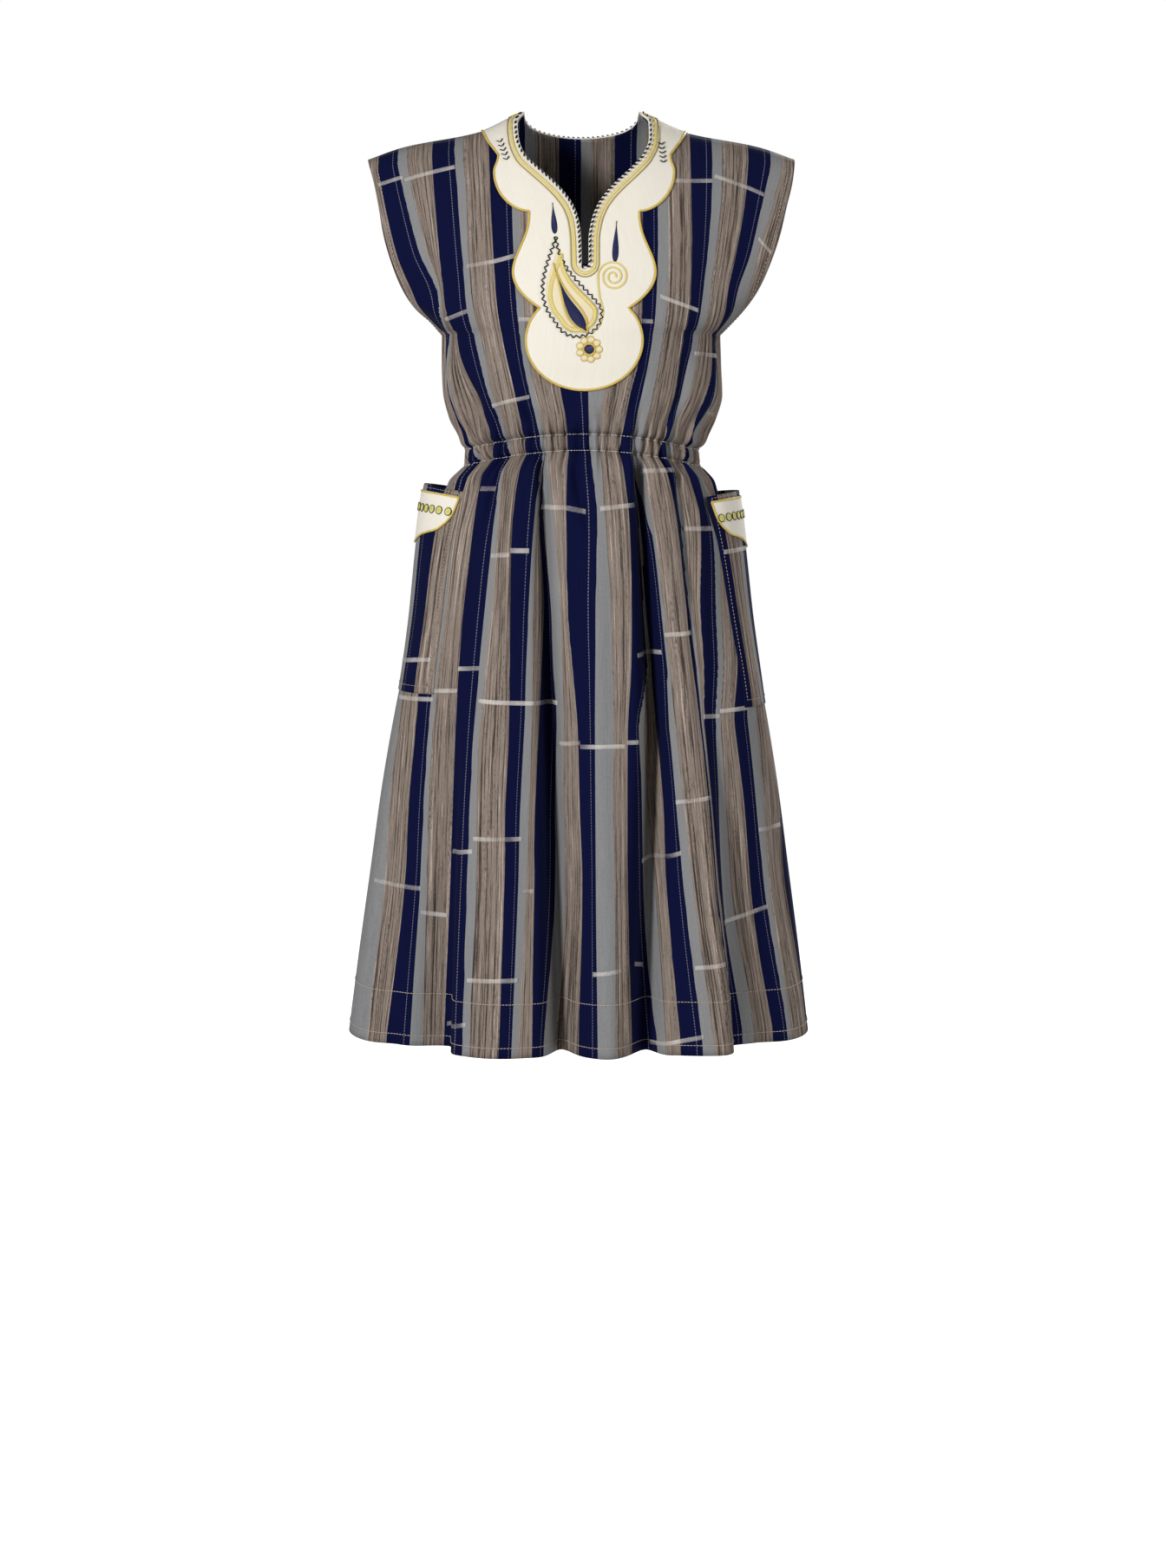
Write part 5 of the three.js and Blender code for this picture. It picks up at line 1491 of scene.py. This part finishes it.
def back_yoke_edges():
    """The back neck edge, and the back band's lower edge matched to it by angle."""
    steps = 90
    angle = np.linspace(0, np.pi, steps)
    drop = np.maximum(np.sin(angle), 0) ** 0.75
    x = YOKE_MIDDLE - YOKE_SHOULDER[0] * np.cos(angle)
    return back_neck_edge(steps), np.stack([x, mix(YOKE_SHOULDER[1], YOKE_BACK_BOTTOM, drop)], axis=1)


back_inner, back_outer = back_yoke_edges()
yoke_back = patch("yoke_back_cotton", BACK, back_inner, back_outer, 12, YOKE_LIFT, YOKE_THICKNESS, CREAM)
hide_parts("yoke_back")
sweep("yoke_back_edge_cord", *on_sheet(BACK, back_outer, EDGE_LIFT), YOKE_CORD, GOLD)


def neck_trim(panel, sheet, edge, count):
    """The neck's finish, from its edge outward: a rolled cream edge, satin band and fine gold cord."""
    edge = resample(edge, count)

    def along_edge(part, place, profile, material):
        """One band of the finish, at its place from the edge."""
        points, normals = on_sheet(sheet, spread(edge, place[0]), place[1])
        return sweep(f"neck_{part}_{panel}", points, normals, profile, material)

    along_edge("roll", ROLL_PLACE, round_profile(ROLL_RADIUS, 8), CREAM)
    band = along_edge("satin", SATIN_PLACE, band_profile(3.6, 1.1), PALE_GOLD)
    along_edge("cord", CORD_PLACE, round_profile(0.85, 6, 0.2), OLD_GOLD)

    # Saddle stitches lie across the rolled edge at a slant.
    total = np.linalg.norm(np.diff(edge, axis=0), axis=1).sum()
    many = resample(edge, int(total / SADDLE_PITCH))[1:-1]
    outer_end, _ = on_sheet(sheet, spread(many, SADDLE_SPREAD), SADDLE_LIFTS[0])
    inner_end, normal = on_sheet(sheet, many, SADDLE_LIFTS[1])
    slant = np.gradient(inner_end, axis=0) * SADDLE_SLANT
    centres = (outer_end + inner_end) / 2 + normal * SADDLE_LIFTS[2]
    runs = outer_end - inner_end + slant
    stitches(f"neck_saddle_stitches_{panel}", centres, runs, normal, *SADDLE_STITCH, BLACK_THREAD)
    return band


for panel, sheet, edge, count in (("front", FRONT, neck_edge(), 330), ("back", BACK, back_neck_edge(), 90)):
    band = neck_trim(panel, sheet, edge, count)
    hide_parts(f"neck_binding_{panel}")

# ---------------------------------------------------------------- embroidery

OUTLINE_POINTS = 120
BEND_START = 0.2


def teardrop(round_end, tip, half, bend=0.0):
    """A drop from its round end to its tip as a closed outline.

    Along the axis s goes from 0 to 1 as (1 + cos t) / 2, the half width is sin t times the square of
    sin (t / 2), and the axis bows sideways by a half sine that starts at BEND_START.
    """
    t = np.linspace(0, 2 * np.pi, OUTLINE_POINTS, endpoint=False)
    s = (1 + np.cos(t)) / 2
    width = half * np.sin(t) * np.sin(t / 2) ** 2
    start, end = np.array(round_end, float), np.array(tip, float)
    along = end - start
    side = np.array([along[1], -along[0]]) / np.linalg.norm(along)
    bow = -bend * np.sin(np.pi * np.clip((s - BEND_START) / (1 - BEND_START), 0, 1))
    return start + s[:, None] * along + (width + bow)[:, None] * side


def leaf_shape(start, tip, half, lean, bend):
    """A leaf that is pointed at both ends, as a closed outline.

    From the start to the tip s goes from 0 to 1. The half width is a half sine of s to the power
    lean, which puts its fullest part nearer the tip, and the axis bows sideways by a half sine.
    """
    s = np.linspace(0, 1, OUTLINE_POINTS // 2 + 1)
    start, tip = np.array(start, float), np.array(tip, float)
    along = tip - start
    side = np.array([along[1], -along[0]]) / np.linalg.norm(along)
    axis = start + s[:, None] * along + (bend * np.sin(np.pi * s))[:, None] * side
    reach = (half * np.sin(np.pi * s**lean))[:, None] * side
    return np.vstack([axis + reach, (axis - reach)[-2:0:-1]])


def filled(name, sheet, outline, lift, material, dome):
    """A closed outline filled with stitches: its first half and its second half are the two edges."""
    half = len(outline) // 2
    first = outline[: half + 1]
    second = np.vstack([outline[half:], outline[:1]])[::-1]
    return patch(name, sheet, first, second, 9, lift, 0.4, material, dome)


def outline_sweep(name, outline, profile, material, lift=YOKE_LIFT, closed=True):
    """A cord laid along an outline on the yoke."""
    points, normals = on_sheet(FRONT, outline, lift)
    return sweep(name, points, normals, profile, material, closed)


def zigzag_line(name, outline, teeth, swing, thread):
    """Black stitches that swing from side to side along a closed outline."""
    dense = resample(np.vstack([outline, outline[:1]]), teeth * 2 + 1)[:-1]
    run = np.roll(dense, -1, axis=0) - np.roll(dense, 1, axis=0)
    run /= np.maximum(np.linalg.norm(run, axis=1, keepdims=True), 1e-9)
    away = np.where(np.arange(len(dense)) % 2, swing, -swing)[:, None]
    dense = dense + np.stack([-run[:, 1], run[:, 0]], axis=1) * away
    points, normals = on_sheet(FRONT, dense, YOKE_LIFT + 0.9)
    after = np.roll(points, -1, axis=0)
    gap = np.linalg.norm(after - points, axis=1)
    return stitches(name, (after + points) / 2, after - points, normals, gap * 1.25, thread, BLACK_THREAD)


PAISLEY_END = (3.0, -231.5)
PAISLEY_TIP = (-26.0, -128.5)
PAISLEY_HALF = 38.5
PAISLEY_BEND = 11.0
LEAF_BOW = 3.8


def paisley_layer(end_in, tip_in, fullness):
    """One outline of the paisley. Its round end and its tip draw in by shares of the axis."""
    end, tip = np.array(PAISLEY_END), np.array(PAISLEY_TIP)
    half, bend = PAISLEY_HALF * fullness, PAISLEY_BEND * fullness**0.5
    return teardrop(mix(end, tip, end_in), mix(tip, end, tip_in), half, bend)


ring = paisley_layer(0.062, 0.19, 0.73)
leaf = leaf_shape((-27.4, -161.7), (5.6, -227.0), 5.9, 2.41, LEAF_BOW)
leaf_rim = leaf_shape((-28.4, -157.5), (6.4, -228.4), 8.0, 2.3, LEAF_BOW)
filled("paisley_ground", FRONT, paisley_layer(0.03, 0.09, 0.88), YOKE_LIFT, CREAM_SATIN, 0.7)
outline_sweep("paisley_gold_ring", ring, band_profile(4.2, 0.9), PALE_GOLD, YOKE_LIFT + 0.5)
outline_sweep("paisley_leaf_rim", leaf_rim, band_profile(2.2, 0.8), GOLD, YOKE_LIFT + 0.9)
filled("paisley_leaf", FRONT, leaf, YOKE_LIFT + 1.3, NAVY_SATIN, 0.6)
zigzag_line("paisley_zigzag", paisley_layer(0, 0, 1), 40, 1.7, 1.4)

filled("drop_left", FRONT, teardrop((-27.1, -127), (-29.7, -95), 4.9), YOKE_LIFT + 0.1, NAVY_SATIN, 0.8)
filled("drop_right", FRONT, teardrop((35, -156), (36.6, -114), 5.2), YOKE_LIFT + 0.1, NAVY_SATIN, 0.8)


def spiral_path(centre, outer_radius, inner_radius, turns, start_angle):
    """A spiral whose radius shrinks evenly with its angle."""
    part = np.linspace(0, 1, 150)
    angle = start_angle - part * turns * 2 * np.pi
    radius = mix(outer_radius, inner_radius, part)
    return np.stack([centre[0] + radius * np.cos(angle), centre[1] + radius * np.sin(angle)], axis=1)


spiral = spiral_path((33.4, -171), 16.2, 2.4, 2.6, math.pi * 1.08)
outline_sweep("spiral", spiral, band_profile(2.1, 0.9), PALE_GOLD, closed=False)
# The spiral's tail: its heights, from its end up, and its x at each.
SPIRAL_TAIL = [[-229, 11], [-219, 20], [-206, 22.5], [-190, 18.8], [-172.5, 17.2]]
tail_z = np.linspace(SPIRAL_TAIL[-1][0], SPIRAL_TAIL[0][0], 50)
tail = np.stack([curve(*np.array(SPIRAL_TAIL, float).T)(tail_z), tail_z], axis=1)
outline_sweep("spiral_tail", tail, band_profile(1.9, 0.9), PALE_GOLD, closed=False)

FLOWER = (8.3, -245.5)
PETALS = 9
PETAL_CIRCLE = 10.2
PETAL_RADIUS = 3.3


def ring_path(centre, radius, count):
    """A circle as a closed outline."""
    angle = np.linspace(0, 2 * np.pi, count, endpoint=False)
    return np.stack([centre[0] + radius * np.cos(angle), centre[1] + radius * np.sin(angle)], axis=1)


for number, centre in enumerate(ring_path(FLOWER, PETAL_CIRCLE, PETALS)):
    petal = ring_path(centre, PETAL_RADIUS, 16)
    filled(f"flower_petal_{number}", FRONT, petal, YOKE_LIFT, CREAM_SATIN, 0.9)
    outline_sweep(f"flower_petal_edge_{number}", petal, band_profile(1.3, 0.8), GOLD)
outline_sweep("flower_ring", ring_path(FLOWER, 6.0, 24), band_profile(2.0, 1.0), GOLD)
filled("flower_eye", FRONT, ring_path(FLOWER, 4.7, 28), YOKE_LIFT + 0.3, NAVY_SATIN, 1.2)


HERRINGBONE_LIFT = YOKE_LIFT + 1.2


def herringbone(name, top, bottom, rungs, width):
    """Slanting stitches on both sides of a line, as a row of fish bones."""
    line = np.linspace(np.array(top, float), np.array(bottom, float), rungs)
    down = (line[-1] - line[0]) / np.linalg.norm(line[-1] - line[0])
    side = np.array([-down[1], down[0]])
    ends = np.concatenate([line + side * width / 2 - down * 1.4, line - side * width / 2 - down * 1.4])
    middle = np.concatenate([line + down * 1.2, line + down * 1.2])
    a, normal = on_sheet(FRONT, ends, HERRINGBONE_LIFT)
    b, _ = on_sheet(FRONT, middle, HERRINGBONE_LIFT)
    length = np.linalg.norm(b - a, axis=1) * 1.2
    return stitches(name, (a + b) / 2, b - a, normal, length, 1.3, BLACK_THREAD)


herringbone("herringbone_left", (-84.5, -29), (-77.5, -48), 5, 7)
herringbone("herringbone_right", (83.5, -32), (85.5, -51), 5, 7)

# ---------------------------------------------------------------- hem, casing and edge stitching


def level_line(level):
    """A level from side seam to side seam, as rows and columns of a panel."""
    return np.full(400, float(level)), np.linspace(-SEAM_END, SEAM_END, 400)


for panel, sheet in (("front", FRONT), ("back", BACK)):
    for place, level in (("top", CASING_TOP), ("bottom", CASING_BOTTOM)):
        name = f"casing_stitches_{place}_{panel}"
        stitch_line(name, sheet, *level_line(level), *CASING_STITCH, WHITE_THREAD)
    for place, above_hem in HEM_LINES.items():
        name = f"{place}_stitches_{panel}"
        stitch_line(name, sheet, *level_line(HEM_LEVEL + above_hem), *HEM_STITCH, TAN_THREAD)
    rise = np.linspace(UNDERARM_LEVEL, -2, 140)
    for side, sign in (("left", -1), ("right", 1)):
        column = np.full(140, sign * ARMHOLE_LINE)
        name = f"armhole_stitches_{side}_{panel}"
        stitch_line(name, sheet, rise, column, *ARMHOLE_STITCH, TAN_THREAD)

# ---------------------------------------------------------------- pockets

pocket_trim_below = curve(*np.array(TRIM_EDGE, float).T)
SMOOTH_LEVELS = np.linspace(-660, -380, 30)
SMOOTH_FRONT, SMOOTH_BACK = (
    panel_sheet(panel, SMOOTH_LEVELS, np.linspace(-1, 1, 121), creased=False) for panel in ("front", "back")
)


def pocket_sheet(side, mouth, bottom, front_top, front_bottom, back_top, back_bottom, gape):
    """A pocket as a sheet over fall (0 at the mouth, 1 at the bottom) and across (front to back).

    Each of its levels follows the skirt's own side without its creases, read as x for each y, and
    stands off it by the gape, a half sine across that closes towards the bottom.
    """
    falls = np.linspace(0, 1, 64)
    acrosses = np.linspace(0, 1, 56)
    points = np.empty((len(falls), len(acrosses), 3))
    for place, fall in enumerate(falls):
        z = mix(mouth, bottom, fall)
        ends = mix(front_top, front_bottom, fall), mix(back_top, back_bottom, fall)
        y = mix(ends[0], ends[1], acrosses)
        seen_y, seen_x = [], []
        for order, sheet in ((1, SMOOTH_FRONT), (-1, SMOOTH_BACK)):
            line = sheet.at(np.full(200, z), side * np.linspace(0.45, 1, 200))[0]
            seen_y.append(line[::order, 1])
            seen_x.append(line[::order, 0])
        seen_y, seen_x = np.concatenate(seen_y), np.concatenate(seen_x)
        x = np.interp(y, np.maximum.accumulate(seen_y), seen_x)
        points[place] = np.stack([x, y, np.full_like(y, z)], axis=1)
    sheet = Sheet(falls, acrosses, points, side)
    stand = gape * np.sin(np.pi * acrosses)[None] ** 0.8 * (1 - falls)[:, None] ** 1.4
    ripple = 0.8 * np.sin(acrosses * 17)[None] * np.sin(np.pi * falls)[:, None]
    points = points + sheet.normals * (stand + ripple + 1.6)[..., None]
    return Sheet(falls, acrosses, points, side)


def pocket_cloth(name, side, sheet, phases):
    """The pocket's cloth, its strips running as the phases along its middle row say."""
    rows, columns = sheet.points.shape[:2]
    faces = grid_faces(rows, columns, side)
    u = np.broadcast_to(phases, (rows, columns)).ravel()[faces]
    v = np.repeat(-sheet.points[:, 0, 2] * MM, columns)[faces]
    uv = np.stack([u, v], axis=-1)
    pocket = make_piece(f"pocket_{name}_cloth", sheet.points.reshape(-1, 3), faces, STRIP_CLOTH, uv)
    grid = np.meshgrid(sheet.rows, sheet.columns, indexing="ij")
    flip_outward(pocket, sheet, *[line.ravel() for line in grid])
    thicken(pocket, CLOTH_THICKNESS)
    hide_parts(f"pocket_{name}")


def pocket_trim(name, side, sheet, height):
    """The trim under the mouth, straight above and scalloped below, alike to front and back."""
    end, count = 0.015, 110
    across = np.linspace(end, 1 - end, count)
    near = 1 - np.abs(2 * (across - end) / (1 - 2 * end) - 1)
    below = pocket_trim_below(near) / height
    part = np.linspace(0, 1, 14)[:, None]
    falls = mix((TRIM_DROP - 1) / height, below[None], part)
    columns = np.broadcast_to(across, falls.shape)
    points, _ = sheet.at(falls, columns, np.full(falls.shape, 1.3))
    faces = grid_faces(*falls.shape, side)
    trim = make_piece(f"pocket_trim_{name}_cotton", points.reshape(-1, 3), faces, CREAM)
    flip_outward(trim, sheet, falls.ravel(), columns.ravel())
    thicken(trim, 0.9)
    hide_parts(f"pocket_trim_{name}")
    for edge_name, edge_falls in (("lower", below), ("upper", np.full(count, TRIM_DROP / height))):
        points, normals = sheet.at(edge_falls, across, np.full(count, EDGE_LIFT))
        sweep(f"pocket_trim_{name}_{edge_name}_cord", points, normals, band_profile(2.3, 0.9), GOLD)


def ring_chain(name, sheet, fall):
    """A chain of small rings along the trim, each filled with thread."""
    line = sheet.at(np.full(200, fall), np.linspace(CHAIN_START, 1 - CHAIN_START, 200))[0]
    total = np.linalg.norm(np.diff(line, axis=0), axis=1).sum()
    chain = np.linspace(CHAIN_START, 1 - CHAIN_START, int(total / RING_PITCH))
    centres, normals = sheet.at(np.full(len(chain), fall), chain, np.full(len(chain), 1.7))
    runs = np.gradient(centres, axis=0)
    runs /= np.linalg.norm(runs, axis=1, keepdims=True)
    rises = np.cross(runs, normals)
    turn = np.linspace(0, 2 * np.pi, 18, endpoint=False)
    # The outline and the filling: name, share of the ring's radius, profile and thread.
    parts = [
        ["ring", 1, round_profile(0.5, 5, 0.3), OLIVE_THREAD],
        ["ring_fill", 0.5, band_profile(RING_RADIUS * 0.99, 0.7), LIME],
    ]
    for number, (centre, normal, run, rise) in enumerate(zip(centres, normals, runs, rises)):
        round_about = np.cos(turn)[:, None] * run + np.sin(turn)[:, None] * rise
        up = np.repeat(normal[None], len(turn), axis=0)
        for part, share, profile, material in parts:
            path = centre + RING_RADIUS * share * round_about
            sweep(f"pocket_{part}_{name}_{number}", path, up, profile, material, True)


def pocket_stitching(name, sheet):
    """The pocket is sewn down its front edge, along the bottom and up its back edge, and hemmed."""
    low_seam = 0.965
    down = np.linspace(0.02, low_seam, 160)
    level = np.linspace(0.03, 0.97, 120)
    falls = np.concatenate([down, np.full(120, low_seam), down[::-1]])
    across = np.concatenate([np.full(160, 0.025), level, np.full(160, 0.975)])
    stitch_line(f"pocket_stitches_{name}", sheet, falls, across, *POCKET_STITCH, TAN_THREAD)
    mouth = np.full(120, 0.012)
    stitch_line(f"pocket_mouth_stitches_{name}", sheet, mouth, level, *POCKET_STITCH, TAN_THREAD)


for name, (side, mouth, bottom, *edges, start_phase, way, wider) in POCKETS.items():
    sheet = pocket_sheet(side, mouth, bottom, *edges)
    height = mouth - bottom
    middle_row = sheet.points[len(sheet.rows) // 2]
    lengths = np.concatenate([[0], np.cumsum(np.linalg.norm(np.diff(middle_row, axis=0), axis=1))])
    phases = phase_of_length(start_phase * sum(BAND_WIDTHS) + way * lengths / wider)
    pocket_cloth(name, side, sheet, phases)
    pocket_bars = weft_bars(
        f"weft_bars_pocket_{name}",
        sheet,
        lambda rows, columns: np.interp(columns, sheet.columns, phases),
        np.array(WEFT_BARS[name]) / 100,
        1 / height,
    )
    pocket_trim(name, side, sheet, height)
    ring_chain(name, sheet, (mouth - CHAIN_HEIGHT[name]) / height)
    pocket_stitching(name, sheet)

# ---------------------------------------------------------------- floor, light and camera

FLOOR_HEIGHT = -1.497
FLOOR_REACH = 40.0
FLOOR_GLOW = 0.9


def floor_material():
    """Pale paper. It looks bright to the camera alone, so that it throws little light on the cloth."""
    material, tree, shader = new_material("pale_floor", 0.9)
    place = node(tree, "TexCoord").outputs["Object"]
    tone = blend(tree, noise(tree, place, 2.0), (0.48, 0.48, 0.48, 1), (0.5, 0.5, 0.5, 1))
    put(tree, shader.inputs["Base Color"], tone)
    shader.inputs["Emission Color"].default_value = (1, 1, 1, 1)
    seen = node(tree, "LightPath").outputs["Is Camera Ray"]
    put(tree, shader.inputs["Emission Strength"], maths(tree, "MULTIPLY", seen, FLOOR_GLOW))
    return material


floor_mesh = bpy.data.meshes.new("floor")
floor_mesh.from_pydata(
    [(x * FLOOR_REACH, y * FLOOR_REACH, FLOOR_HEIGHT) for x, y in ((-1, -1), (1, -1), (1, 1), (-1, 1))],
    [],
    [(0, 1, 2, 3)],
)
floor_mesh.materials.append(floor_material())
floor = bpy.data.objects.new("floor", floor_mesh)
bpy.context.scene.collection.objects.link(floor)


# The lights: name, place, width and height, and power. All look at LIT_POINT.
LIT_POINT = (0, 0, -0.5)
LIGHTS = [
    ["key", (-2.2, -3.0, 0.5), (0.7, 1.0), 142],
    ["fill", (2.7, -1.9, 0.3), (1.4, 1.4), 46],
    ["rear", (1.6, 3.0, 1.2), (1.6, 1.6), 120],
]


def soft_light(name, place, size, power):
    """A large area light that looks at LIT_POINT."""
    data = bpy.data.lights.new(name, "AREA")
    data.shape = "RECTANGLE"
    data.size, data.size_y = size
    data.energy = power
    light = bpy.data.objects.new(name, data)
    bpy.context.scene.collection.objects.link(light)
    direction = np.array(LIT_POINT, float) - np.array(place, float)
    yaw = math.atan2(-direction[0], direction[1])
    pitch = math.atan2(direction[2], math.hypot(direction[0], direction[1]))
    light.location = place
    light.rotation_euler = (math.pi / 2 + pitch, 0, yaw)


for light in LIGHTS:
    soft_light(*light)

BACKGROUND_TO_CAMERA = 1.0
BACKGROUND_LIGHT = 0.22


def studio_world():
    """White all round: bright where the camera sees it, dimmer as light on the cloth."""
    world = bpy.data.worlds.new("studio")
    world.use_nodes = True
    tree = world.node_tree
    background = tree.nodes["Background"]
    seen = tree.nodes.new("ShaderNodeLightPath").outputs["Is Camera Ray"]
    gain = BACKGROUND_TO_CAMERA - BACKGROUND_LIGHT
    put(tree, background.inputs[0], (1, 1, 1, 1))
    put(tree, background.inputs[1], maths(tree, "MULTIPLY_ADD", seen, gain, BACKGROUND_LIGHT))
    return world


bpy.context.scene.world = studio_world()
bpy.context.scene.view_settings.view_transform = "Standard"

CAMERA_PLACE = (0.0019, -3.6, -0.2973)
CAMERA_TILT = 6.56
CAMERA_LENS = 76.76
SENSOR_WIDTH = 36

camera_data = bpy.data.cameras.new("camera")
camera_data.lens = CAMERA_LENS
camera_data.sensor_width = SENSOR_WIDTH
camera = bpy.data.objects.new("camera", camera_data)
camera.location = CAMERA_PLACE
camera.rotation_euler = (math.radians(90 - CAMERA_TILT), 0, 0)
bpy.context.scene.collection.objects.link(camera)
bpy.context.scene.camera = camera

bpy.context.view_layer.update()
